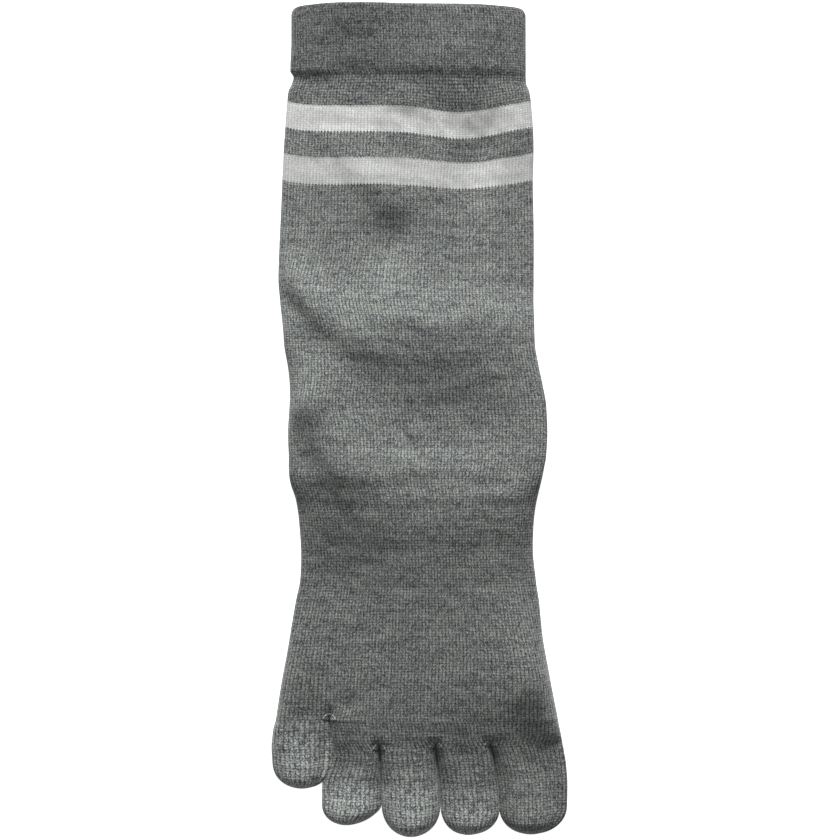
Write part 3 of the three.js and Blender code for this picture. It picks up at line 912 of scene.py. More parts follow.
class RingCutter:
    """Cuts a section into a ring of points that lie evenly along the knit.

    look is how far each way the surface's direction is read. Past the steepest slope the wall is
    thinned no more, and relief fades where half the section is less than full_relief_half.
    """

    dense = 700
    least_half = 0.02
    least_edge = 0.05
    steepest = 1.6
    look = 0.1
    full_relief_half = 3
    no_length = 1e-9

    def __init__(self, wales: int, relief: Relief) -> None:
        """Sets how many wales lie across each side, and how they stand out."""
        self.wales = wales
        self.relief = relief

    def profile(self, section: Section, inset: float, on_top: bool) -> tuple[Values, Values, Values]:
        """Works out one side of a section, with its folded edges.

        Args:
            section: The section to cut.
            inset: How far inside the outer surface the side lies.
            on_top: Whether it is the front.

        Returns:
            The shares, x and z of its samples.
        """
        share = np.sin(np.pi / 2 * np.linspace(-1, 1, self.dense))
        in_half = max(section.half - inset, self.least_half)
        in_edge = max(section.edge - inset, self.least_edge)
        x = in_half * share
        radius = np.where(share < 0, section.round_left, section.round_right)
        radius = np.clip(radius - inset, self.least_edge, in_edge)
        near = np.clip(1 - (1 - np.abs(share)) * in_half / radius, 0, 1)
        bend = radius * (np.sqrt(1 - near * near) - 1)
        middle = section.base + section.edge
        if on_top:
            outer = section.rise(np.clip(x / section.half, -1, 1))
            slope = np.gradient(outer, x)
            thinning = inset * (np.minimum(np.hypot(1, slope), self.steepest) - 1)
            z = middle + (in_edge + bend + np.maximum(outer - thinning, 0)) * section.rounded
        else:
            z = middle - (in_edge + bend) * section.flat_bottom
        share = np.concatenate([[-1.0], share, [1.0]])
        x = np.concatenate([[x[0]], x, [x[-1]]])
        z = np.concatenate([[middle], z, [middle]])
        return share, section.centre + x, z

    def places(self, section: Section, share: Values, arc: Values) -> Values:
        """Spreads the wales along one side, and gathers them into the toes where they part.

        Args:
            section: The section that is cut.
            share: The share across the section at each point of the side.
            arc: The length of the side up to each point.

        Returns:
            Where along the side each sample lies.
        """
        count = self.wales * SAMPLES_PER_WALE
        even = arc[-1] * np.linspace(0, 1, count + 1)
        if not section.lobes:
            return even
        total = sum(wales for _, _, wales in section.lobes)
        knots, marks, reached = [0.0], [0.0], 0
        for _, end, wales in section.lobes:
            reached += wales
            knots.append(reached / total)
            marks.append(arc[-1] if end >= 1 else float(np.interp(end, share, arc)))
        gathered = np.interp(np.linspace(0, 1, count + 1), knots, marks)
        return mix(even, gathered, section.gather)

    def cut(self, section: Section, inset: float, tooth: float = 0.0, plain: bool = False) -> Ring:
        """Cuts one ring.

        Args:
            section: The section to cut.
            inset: How far inside the outer surface the ring lies.
            tooth: How far the middle of each wale reaches past its grooves.
            plain: Leaves out the wales, for an inner surface.

        Returns:
            The ring, with the place of each point counted in wales.
        """
        sides = []
        for on_top in (True, False):
            share, x, z = self.profile(section, inset, on_top)
            arc = np.concatenate([[0], np.cumsum(np.hypot(np.diff(x), np.diff(z)))])
            arc += np.arange(len(arc)) * self.no_length
            places = self.places(section, share, arc)
            sx, sz = np.interp(places, arc, x), np.interp(places, arc, z)
            after, before = places + self.look, places - self.look
            ahead = np.interp(after, arc, x) - np.interp(before, arc, x)
            climb = np.interp(after, arc, z) - np.interp(before, arc, z)
            size = np.maximum(np.hypot(ahead, climb), self.no_length)
            out = 1 if on_top else -1
            shares = np.interp(places, arc, share)
            y = section.slant(shares, on_top)
            wales = np.arange(len(places)) / SAMPLES_PER_WALE
            if not on_top:
                wales = 2 * self.wales - wales
            sides.append((sx, y, sz, -out * climb / size, out * ahead / size, wales))
        top, bottom = sides
        joined = [np.concatenate([t, b[-2:0:-1]]) for t, b in zip(top, bottom)]
        x, y, z, nx, nz, wales = joined
        ends = [0, len(top[0]) - 1]
        nx[ends], nz[ends] = [-1.0, 1.0], [0.0, 0.0]
        if not plain:
            depth = self.relief.depth(wales)
            taper = min(1.0, section.half / self.full_relief_half)
            x, z = x - nx * depth * taper, z - nz * depth * taper
        y = y - tooth * tooth_wave(wales)
        return Ring(np.stack([x, y, z], axis=1), wales)


@dataclass
class Knit:
    """Where each course lies: the pitch of the courses in millimetres along the sock."""

    pitches: tuple[tuple[float, float], ...] = (
        (0, 0.92),
        (26, 0.92),
        (40, 0.84),
        (105, 0.82),
        (120, 0.88),
        (172, 0.88),
        (190, 1.03),
        (240, 1.02),
        (262, 0.96),
        (320, 1.0),
    )
    first: float = -5.0
    last: float = 330.0
    readings: int = 3351

    def __post_init__(self) -> None:
        """Counts the courses along the sock."""
        self.reach = np.linspace(self.first, self.last, self.readings)
        pitch = np.interp(self.reach, [p[0] for p in self.pitches], [p[1] for p in self.pitches])
        self.counted = np.concatenate([[0], np.cumsum(np.diff(self.reach) / pitch[:-1])])

    def course(self, distance: Values | float) -> Values:
        """Returns the number of the course at each distance."""
        return np.interp(distance, self.reach, self.counted)


class ShellMesh:
    """Makes a closed solid between an outer and an inner stack of rings.

    On its bake map the outside lies above and the inside below, with each tip just past its own part.
    """

    course_to_tip = 0.5
    bake_outside = (0.22, 0.99)
    bake_inside = (0.01, 0.18)
    bake_tips = (0.995, 0.185)
    bake_left = 0.005
    bake_width = 0.985
    bake_spare = 1.01

    def __init__(self, name: str, shift: Values) -> None:
        """Sets the object's name and how far its points move into the frame."""
        self.name = name
        self.shift = shift

    def faces(self, outer: int, inner: int, around: int, poles: bool) -> tuple[Values, Values]:
        """Joins the rings.

        Args:
            outer: The number of outer rings.
            inner: The number of inner rings.
            around: The number of points in a ring.
            poles: Whether the piece is a pocket that closes at its tips.

        Returns:
            The corners of the quads, and of the triangles at the poles.
        """
        j = np.arange(around)
        following = (j + 1) % around
        quads = []

        def band(first: Values, second: Values, facing: bool) -> None:
            """Adds the quads between the rings that start at the first and second corner."""
            corners = [first + j, second + j, second + following, first + following]
            quads.append(np.stack(corners if facing else corners[::-1], axis=1))

        start = outer * around
        for i in range(outer - 1):
            band(i * around, (i + 1) * around, True)
        for i in range(inner - 1):
            band(start + i * around, start + (i + 1) * around, False)
        band(0, start, False)
        triangles = np.zeros((0, 3), int)
        if poles:
            tip = (outer + inner) * around
            last, deep = (outer - 1) * around, start + (inner - 1) * around
            closing = [last + j, np.full(around, tip), last + following]
            inside = [deep + following, np.full(around, tip + 1), deep + j]
            triangles = np.concatenate([np.stack(closing, axis=1), np.stack(inside, axis=1)])
        else:
            band((outer - 1) * around, start + (inner - 1) * around, True)
        return np.concatenate(quads), triangles

    def build(
        self,
        outer: list[Ring],
        inner: list[Ring],
        courses: tuple[Values, Values],
        poles: list[Values] | None = None,
    ) -> bpy.types.Object:
        """Builds the object.

        Args:
            outer: Rings of the outer surface.
            inner: Rings of the inner surface, over the same length.
            courses: The course number of each outer and each inner ring's points.
            poles: The outer and the inner tip, where the piece is a pocket.

        Returns:
            The object, with its knit map and its bake map.
        """
        around = len(outer[0].points)
        points = [ring.points for ring in (*outer, *inner)]
        points += [np.array([pole]) for pole in poles or []]
        places = (np.concatenate(points) + self.shift) * MM
        quads, triangles = self.faces(len(outer), len(inner), around, bool(poles))
        mesh = bpy.data.meshes.new(self.name)
        mesh.from_pydata(places.tolist(), [], quads.tolist() + triangles.tolist())
        corners = np.concatenate([quads.ravel(), triangles.ravel()])
        wale = np.concatenate([ring.wales for ring in (*outer, *inner)] + [np.zeros(2 if poles else 0)])
        course = np.concatenate([courses[0].ravel(), courses[1].ravel()])
        tips = [stack.max() + self.course_to_tip for stack in courses] if poles else []
        course = np.concatenate([course, tips])
        u, v = wale[corners], course[corners]
        self.unwrap_edges(u, len(quads), outer[0].wales.max())
        knit = mesh.uv_layers.new(name=KNIT_MAP)
        knit.data.foreach_set("uv", np.stack([u, v], axis=1).ravel().astype(np.float32))
        bake = mesh.uv_layers.new(name=BAKE_MAP)
        flat = self.bake_places(u, corners, around, courses)
        bake.data.foreach_set("uv", flat.ravel().astype(np.float32))
        mesh.uv_layers.active = knit
        mesh.shade_smooth()
        self.sharpen_rims(mesh, around, len(outer), len(inner), bool(poles))
        mesh.update()
        piece = bpy.data.objects.new(self.name, mesh)
        bpy.context.scene.collection.objects.link(piece)
        return piece

    def sharpen_rims(self, mesh: bpy.types.Mesh, around: int, outer: int, inner: int, poles: bool) -> None:
        """Keeps the cut ends out of the smooth shading, so that zones run on without a line.

        Args:
            mesh: The mesh.
            around: The number of points in a ring.
            outer: The number of outer rings.
            inner: The number of inner rings.
            poles: Whether the piece is a pocket that closes at its tips.
        """
        rims = [0, outer] if poles else [0, outer - 1, outer, outer + inner - 1]
        ends = np.zeros(len(mesh.edges) * 2, np.int32)
        mesh.edges.foreach_get("vertices", ends)
        rows = ends.reshape(-1, 2) // around
        sharp = (rows[:, 0] == rows[:, 1]) & np.isin(rows[:, 0], rims)
        layer = mesh.attributes.new("sharp_edge", "BOOLEAN", "EDGE")
        layer.data.foreach_set("value", sharp)

    def unwrap_edges(self, u: Values, quads: int, highest: float) -> None:
        """Carries the wale count on where a face closes the ring, and centres the poles.

        Args:
            u: The wale count at each corner, which is changed in place.
            quads: The number of quads.
            highest: The highest count on a ring.
        """
        whole = highest + 1 / SAMPLES_PER_WALE
        faces = u[: 4 * quads].reshape(-1, 4)
        wraps = faces.max(axis=1) - faces.min(axis=1) > whole / 2
        faces[wraps] = np.where(faces[wraps] < whole / 2, faces[wraps] + whole, faces[wraps])
        ends = u[4 * quads :].reshape(-1, 3)
        if len(ends):
            first, last = ends[:, 0], ends[:, 2]
            last[first - last > whole / 2] += whole
            ends[:, 1] = (first + last) / 2

    def bake_places(
        self,
        u: Values,
        corners: Values,
        around: int,
        courses: tuple[Values, Values],
    ) -> Values:
        """Lays the faces out on the bake map.

        Args:
            u: The wale count at each corner.
            corners: The point at each corner.
            around: The number of points in a ring.
            courses: The course number of each outer and each inner ring's points.

        Returns:
            Where each corner lies on the map.
        """
        across = u / (around / SAMPLES_PER_WALE)
        levels = []
        for values, (low, high) in zip(courses, (self.bake_outside, self.bake_inside)):
            levels.append(mix(low, high, (values - values.min()) / np.ptp(values)).ravel())
        up = np.concatenate([*levels, self.bake_tips])[corners]
        return np.stack([self.bake_left + self.bake_width * across / self.bake_spare, up], axis=1)


@dataclass
class KnittedTube:
    """The tube from the cuff to the toe line, one piece for each zone."""

    shape: SockShape
    knit: Knit
    row_pitch: float = 1.0
    inner_pitch: float = 5.0
    tooth: float = 0.42
    rib_sunk: float = 0.12
    rim_turns: tuple[float, ...] = (20, 45, 68)

    def rows(self, zone: Zone, pitch: float) -> Values:
        """Returns the distances of the rings in a zone."""
        count = max(2, round(zone.length / pitch))
        return np.linspace(zone.start, zone.end, count + 1)

    def build(self, zone: Zone, shift: Values) -> bpy.types.Object:
        """Builds the piece of one zone, with a rounded rim where it is the first.

        Args:
            zone: The zone.
            shift: How far the knit's points move into the frame.

        Returns:
            The piece.
        """
        wales = self.shape.wales_across
        if zone.name == "toe_base":
            wales -= self.shape.toes[0].wales
        sunk = self.rib_sunk if zone.yarn is Yarn.RIB else 0.0
        cutter = RingCutter(wales, Relief(alternate=sunk))
        first = zone.start == 0
        outer, inner, over, under = [], [], [], []
        rim = self.shape.cuff_wall / 2
        if first:
            for turn in self.rim_turns:
                angle = math.radians(turn)
                down = rim * (1 - math.cos(angle))
                section = self.shape.body_section(zone, down)
                inset = rim * (1 - math.sin(angle))
                outer.append(cutter.cut(section, inset))
                inner.append(cutter.cut(section, 2 * rim - inset, plain=True))
                over.append(down)
                under.append(down)
        for pitch, rings, places in ((self.row_pitch, outer, over), (self.inner_pitch, inner, under)):
            plain = rings is inner
            for distance in self.rows(zone, pitch):
                if first and distance < rim:
                    distance = rim
                section = self.shape.body_section(zone, float(distance))
                inset = self.shape.thick_at(float(distance)) if plain else 0.0
                rings.append(cutter.cut(section, inset, self.tooth_at(zone, distance), plain))
                places.append(distance)
        courses = (self.counted(over, outer, zone), self.counted(under, inner, zone))
        return ShellMesh(zone.name + "_knit", shift).build(outer, inner, courses)

    def tooth_at(self, zone: Zone, distance: float) -> float:
        """Works out the teeth, which lie only where yarns meet.

        Args:
            zone: The zone.
            distance: The distance of a ring.

        Returns:
            How far the wales reach past their grooves there.
        """
        at_start = distance == zone.start and zone.toothed_start
        at_end = distance == zone.end and zone.toothed_end
        return self.tooth if at_start or at_end else 0.0

    def counted(self, places: list[float], rings: list[Ring], zone: Zone) -> Values:
        """Counts the courses, with the teeth where yarns meet.

        Args:
            places: The distance of each ring.
            rings: The rings.
            zone: The zone that they lie in.

        Returns:
            The course number of every point.
        """
        rows = []
        for place, ring in zip(places, rings):
            ahead = self.tooth_at(zone, place) * tooth_wave(ring.wales)
            rows.append(self.knit.course(place + ahead))
        return np.array(rows)


@dataclass
class Pocket:
    """A knitted pocket with its mouth at a place and its tip along -Y, or along +Y where it is turned.

    Its inner surface has one ring for every few outer ones, as many as inner_thinning says.
    """

    shape: SockShape
    knit: Knit
    name: str
    wales: int
    width: float
    length: float
    edges: tuple[tuple[float, float, float], ...]
    tip_start: float
    tip_aside: float
    edge: float
    mouth_rise: float
    belly_rise: float
    top_round: float
    slope: float
    mouth: tuple[float, float]
    open_left: bool
    open_right: bool
    courses_ahead: int = 0
    turned: bool = False
    side_rows: float = 1.0
    tip_rows: int = 16
    crotch_reach: float = 3.0
    inner_thinning: int = 3
    last_ring: float = 0.9985
    inner_least: float = 1.02

    def outline(self, at: float, opened: float) -> tuple[float, float]:
        """Works out how wide the pocket is.

        Args:
            at: The share of its length.
            opened: 0 at the mouth, and 1 where it has left the crotch behind.

        Returns:
            Where its two sides lie, from the middle of its mouth.
        """
        shape = self.shape
        places, *sides = zip(*self.edges)
        gap = (shape.seam_gap / 2 - shape.side_press) * opened
        left, right = (float(SmoothCurve(places, side)(at)) * self.width for side in sides)
        past = min(max((at - self.tip_start) / (1 - self.tip_start), 0), 1)
        narrowed = (1 - past**shape.tip_round) ** (1 / shape.tip_round)
        pole = self.tip_aside * self.width
        return mix(pole, left + gap, narrowed), mix(pole, right - gap, narrowed)

    def section(self, at: float) -> Section:
        """Works out the cut across the pocket.

        Args:
            at: The share of its length.

        Returns:
            The section.
        """
        shape = self.shape
        opened = float(smooth(at * self.length / self.crotch_reach))
        left, right = self.outline(at, opened)
        middle, half = (left + right) / 2, (right - left) / 2
        high = mix(self.mouth_rise, self.belly_rise, float(smooth(at / shape.belly_place)))
        rounded = float(mix(shape.pinched, self.edge, opened))
        dome = shape.dome_toe
        if not self.turned:
            dome = float(mix(shape.dome_crotch, dome, smooth(at * self.length / shape.dome_fade)))

        def round_over(reach: float) -> float:
            """Returns how far the height has come down towards the tip."""
            gone = min(max(1 - (1 - at) * self.length / reach, 0), 1)
            return math.sqrt(1 - gone * gone)

        def rise(share: Values) -> Values:
            """Works out the top's height.

            Args:
                share: Places across the section, -1 to 1.

            Returns:
                The height over the folded edges at each place.
            """
            if self.turned:
                return high * off_edge(share, dome)
            swell = math.exp(-(((at - shape.swell_place) / shape.swell_reach) ** 2))
            plain = (high + shape.tip_swell * swell) * off_edge(share, dome)
            x = self.mouth[0] + middle + half * share
            lift = shape.fold_lift(x, at * self.length - self.mouth[1])
            return plain + lift * off_edge(share, shape.toe_fold_edge)

        def slant(share: Values, on_top: bool) -> Values:
            """Returns where each point lies along the pocket."""
            return -at * self.length + self.slope * half * share * (1 - at) ** 2

        return Section(
            centre=middle,
            half=max(half, shape.pinched),
            base=0.0,
            edge=self.edge,
            rise=rise,
            slant=slant,
            round_left=rounded if self.open_left else self.edge,
            round_right=rounded if self.open_right else self.edge,
            flat_bottom=round_over(shape.tip_bottom_round),
            rounded=round_over(self.top_round),
        )

    def stations(self) -> Values:
        """Spaces the rings, closer together round the tip.

        Returns:
            The shares of the length at which they lie.
        """
        count = max(3, round(self.tip_start * self.length / self.side_rows))
        sides = np.linspace(0, self.tip_start, count + 1)
        tip = np.sin(np.linspace(0, math.pi / 2, self.tip_rows + 1))[1:-1]
        return np.concatenate([sides, mix(self.tip_start, 1.0, tip), [self.last_ring]])

    def build(self, shift: Values) -> bpy.types.Object:
        """Builds the pocket.

        Args:
            shift: How far the knit's points move into the frame.

        Returns:
            The piece.
        """
        cutter = RingCutter(self.wales, Relief())
        stations = self.stations()
        inner_stations = np.concatenate([stations[: -1 : self.inner_thinning], stations[-1:]])
        deep = (self.length - self.shape.wall) / self.length
        outer = [cutter.cut(self.section(at), 0.0) for at in stations]
        inner = [self.inner_ring(cutter, at, deep) for at in inner_stations]
        tip = np.array([self.tip_aside * self.width, -self.length, self.edge])
        deep_tip = tip * np.array([1, deep, 1])
        start = self.knit.course(-self.mouth[1]) + self.courses_ahead
        courses = [
            np.repeat((start + places * self.length)[:, None], len(outer[0].points), axis=1)
            for places in (stations, inner_stations)
        ]
        for ring in (*outer, *inner):
            ring.points = self.placed(ring.points)
        poles = [self.placed(tip), self.placed(deep_tip)]
        return ShellMesh(self.name + "_knit", shift).build(outer, inner, (courses[0], courses[1]), poles)

    def inner_ring(self, cutter: RingCutter, at: float, deep: float) -> Ring:
        """Cuts a ring of the inner surface, drawn back from the tip by the wall.

        Args:
            cutter: The pocket's cutter.
            at: The share of the pocket's length.
            deep: The share of the length that the hollow has.

        Returns:
            The ring.
        """
        section = self.section(at)
        section.half = max(section.half, self.shape.wall * self.inner_least)
        ring = cutter.cut(section, self.shape.wall, plain=True)
        ring.points[:, 1] *= deep
        return ring

    def placed(self, points: Values) -> Values:
        """Returns points moved from the pocket's own frame to the sock's."""
        turned = points * (np.array([-1, -1, 1]) if self.turned else 1)
        return turned + np.array([self.mouth[0], self.mouth[1], 0])


def toe_pocket(shape: SockShape, knit: Knit, toe: Toe) -> Pocket:
    """Sets out the pocket of one toe.

    Args:
        shape: The sock's shape.
        knit: The courses.
        toe: The toe.

    Returns:
        The pocket.
    """
    place = shape.toes.index(toe)
    is_little = place == 0
    mouth = shape.zones["toe_base"].start if is_little else shape.reached
    if is_little:
        left, right = shape.ball_place(mouth, toe.start), shape.ball_place(mouth, toe.end)
    else:
        left, right = shape.toe_line[place - 1], shape.toe_line[place]
    middle = (left + right) / 2
    slope = 0.0 if is_little else shape.toe_line_slope
    lean = slope * (middle - (shape.toe_line[0] + shape.toe_line[-1]) / 2)
    gap = shape.seam_gap / 2 if is_little else shape.seam_gap
    return Pocket(
        shape=shape,
        knit=knit,
        name=toe.name,
        wales=toe.wales,
        width=right - left,
        length=toe.length + gap,
        edges=toe.edges,
        tip_start=toe.tip_start,
        tip_aside=toe.tip_aside,
        edge=shape.wall + shape.fold_room,
        mouth_rise=toe.room * shape.leg_room - 2 * shape.fold_room,
        belly_rise=toe.belly * shape.leg_room - 2 * shape.fold_room,
        top_round=shape.tip_top_round,
        slope=slope,
        mouth=(middle, -mouth + lean),
        open_left=not is_little,
        open_right=place < len(shape.toes) - 1,
        courses_ahead=toe.courses_ahead,
    )


def heel_pocket(shape: SockShape, knit: Knit) -> Pocket:
    """Sets out the heel, folded up under the leg.

    Args:
        shape: The sock's shape.
        knit: The courses.

    Returns:
        The pocket.
    """
    return Pocket(
        shape=shape,
        knit=knit,
        name="heel",
        wales=shape.wales_across,
        width=2 * float(shape.half_at(shape.ankle)),
        length=shape.heel_length,
        edges=((0, -0.48, 0.48), (0.35, -0.47, 0.47), (0.7, -0.43, 0.43), (1, -0.36, 0.36)),
        tip_start=0.45,
        tip_aside=0.0,
        edge=shape.heel_high / 2,
        mouth_rise=0.0,
        belly_rise=0.0,
        top_round=shape.tip_bottom_round,
        slope=0.0,
        mouth=(float(shape.centre_at(shape.ankle)), -shape.ankle),
        open_left=False,
        open_right=False,
        turned=True,
    )


@dataclass
class CrotchTurns:
    """The turns of yarn that close the knit round the top of a crotch."""

    shape: SockShape
    name: str
    zone: Zone
    x: float
    reaches: tuple[float, ...] = (0.9, 1.6, 2.3)
    arc: tuple[float, float] = (0.04, 0.96)
    yarn_radius: float = 0.3
    stand: float = 0.1
    steps: int = 16
    sides: int = 8
    first_course: float = 340.0
    course_step: float = 0.4
    knit_left: float = 0.3
    knit_width: float = 0.4
    knit_end: float = 0.1
    bake_width: float = 0.8
    bake_end_place: float = 0.9
    bake_end: float = 0.06

    def spine(self, reach: float) -> Values:
        """Lays the middle of one turn on the knit, on the cuff's side of the crotch.

        Args:
            reach: The turn's radius.

        Returns:
            Its points.
        """
        points = []
        for angle in np.linspace(*self.arc, self.steps + 1) * math.pi:
            distance = self.zone.end - reach * math.sin(angle)
            x, y, z = self.shape.top_point(self.zone, self.x + reach * math.cos(angle), distance)
            points.append((x, y, z + self.stand))
        return np.array(points)

    def tube(self, reach: float) -> Values:
        """Works out the yarn's surface along one turn.

        Args:
            reach: The turn's radius.

        Returns:
            Its points, a row for each step.
        """
        spine = self.spine(reach)
        ahead = np.gradient(spine, axis=0)
        ahead /= np.linalg.norm(ahead, axis=1, keepdims=True)
        side = np.cross(ahead, (0.0, 0.0, 1.0))
        side /= np.linalg.norm(side, axis=1, keepdims=True)
        up = np.cross(side, ahead)
        turns = (2 * math.pi * np.arange(self.sides) / self.sides)[None, :, None]
        around = np.cos(turns) * side[:, None] + np.sin(turns) * up[:, None]
        return spine[:, None] + self.yarn_radius * around

    def side_faces(self, row: int) -> list[list[Corner]]:
        """Lays out the faces round one turn.

        Args:
            row: The turn's number, from the crotch outwards.

        Returns:
            Each face's corners: the point, and its places on the knit map and on the bake map.
        """
        first = row * (self.steps + 1) * self.sides
        faces = []
        for i in range(self.steps):
            for k in range(self.sides):
                face = []
                for step, side in ((i, k), (i + 1, k), (i + 1, k + 1), (i, k + 1)):
                    turned = side / self.sides
                    course = self.first_course + self.course_step * step
                    knit = (self.knit_left + self.knit_width * turned, course)
                    bake = ((row + self.bake_width * turned) / len(self.reaches), step / self.steps)
                    face.append((first + step * self.sides + side % self.sides, knit, bake))
                faces.append(face)
        return faces

    def end_faces(self, row: int) -> list[list[Corner]]:
        """Lays out the two faces that close one turn.

        Args:
            row: The turn's number, from the crotch outwards.

        Returns:
            Each face's corners: the point, and its places on the knit map and on the bake map.
        """
        first = row * (self.steps + 1) * self.sides
        faces = []
        for step, order in ((0, range(self.sides)), (self.steps, reversed(range(self.sides)))):
            face = []
            up = (1 - self.bake_width) / 2 + self.bake_width * step / self.steps
            for side in order:
                turn = 2 * math.pi * side / self.sides
                x, y = math.cos(turn), math.sin(turn)
                knit = (0.5 + self.knit_end * x, self.first_course + self.knit_end * y)
                across = (row + self.bake_end_place + self.bake_end * x) / len(self.reaches)
                face.append((first + step * self.sides + side, knit, (across, up + self.bake_end * y)))
            faces.append(face)
        return faces

    def build(self, shift: Values) -> bpy.types.Object:
        """Builds the turns as one piece of closed tubes, with its knit map and its bake map.

        Args:
            shift: How far the knit's points move into the frame.

        Returns:
            The piece.
        """
        points = np.concatenate([self.tube(reach).reshape(-1, 3) for reach in self.reaches])
        faces = []
        for row in range(len(self.reaches)):
            faces += self.side_faces(row) + self.end_faces(row)
        mesh = bpy.data.meshes.new(self.name)
        loops = [[corner[0] for corner in face] for face in faces]
        mesh.from_pydata(((points + shift) * MM).tolist(), [], loops)
        for which, name in ((1, KNIT_MAP), (2, BAKE_MAP)):
            places = [corner[which] for face in faces for corner in face]
            layer = mesh.uv_layers.new(name=name)
            layer.data.foreach_set("uv", np.array(places, np.float32).ravel())
        mesh.uv_layers.active = mesh.uv_layers[KNIT_MAP]
        mesh.shade_smooth()
        piece = bpy.data.objects.new(self.name, mesh)
        bpy.context.scene.collection.objects.link(piece)
        return piece


def crotch_turns(shape: SockShape) -> list[CrotchTurns]:
    """Sets out the yarn of the four crotches.

    Args:
        shape: The sock's shape.

    Returns:
        The turns of each crotch, from the little toe's side.
    """
    foot, base = shape.zones["foot"], shape.zones["toe_base"]
    beside_little = shape.ball_place(foot.end, shape.toes[0].end)
    crotches = [CrotchTurns(shape, "crotch_yarn_1", foot, beside_little)]
    for number, x in enumerate(shape.toe_line[1:-1], 2):
        crotches.append(CrotchTurns(shape, f"crotch_yarn_{number}", base, x))
    return crotches


def linear(hex_colour: str) -> tuple[float, float, float, float]:
    """Turns a colour to linear.

    Args:
        hex_colour: An sRGB colour, as # and six digits.

    Returns:
        Its linear RGBA.
    """
    parts = [int(hex_colour[i : i + 2], 16) / 255 for i in (1, 3, 5)]
    channels = [c / 12.92 if c <= 0.04045 else ((c + 0.055) / 1.055) ** 2.4 for c in parts]
    return (channels[0], channels[1], channels[2], 1.0)


class Nodes:
    """A material's node tree, with one way to add a node."""

    def __init__(self, material: bpy.types.Material) -> None:
        """Clears the material's tree.

        Args:
            material: The material.
        """
        material.use_nodes = True
        self.tree = material.node_tree
        self.tree.nodes.clear()

    def add(
        self,
        kind: str,
        inputs: dict[str | int, object] | None = None,
        **settings: object,
    ) -> bpy.types.Node:
        """Adds a node.

        Args:
            kind: Blender's name of the node.
            inputs: For each socket a value, the output socket that feeds it, or a node whose first
                output feeds it.
            settings: The node's own settings.

        Returns:
            The node.
        """
        node = self.tree.nodes.new(kind)
        for name, value in settings.items():
            setattr(node, name, value)
        for socket, value in (inputs or {}).items():
            source = value.outputs[0] if isinstance(value, bpy.types.Node) else value
            if isinstance(source, bpy.types.NodeSocket):
                self.tree.links.new(source, node.inputs[socket])
            else:
                node.inputs[socket].default_value = source
        return node


@dataclass(frozen=True)
class Unevenness:
    """A soft noise on the knit map: its waves to a wale and to a course, how fine and how rough it is."""

    across: float
    along: float
    scale: float
    rough: float
    detail: float = 2.0


# The knit map counts wales of about 1.25 mm and courses of about 0.95 mm, so scales are in stitches.
# Streaks are about 18 mm along the courses and 2 mm high, and drift about 4 mm by 1 mm.
STREAKS = Unevenness(across=0.07, along=0.5, scale=1.0, rough=0.6)
DRIFT = Unevenness(across=0.33, along=1.1, scale=0.9, rough=0.7)
# Cotton's fibres are too fine to show, so they are drawn about 0.4 mm across
FIBRES = Unevenness(across=1.0, along=1.0, scale=3.2, rough=0.6)


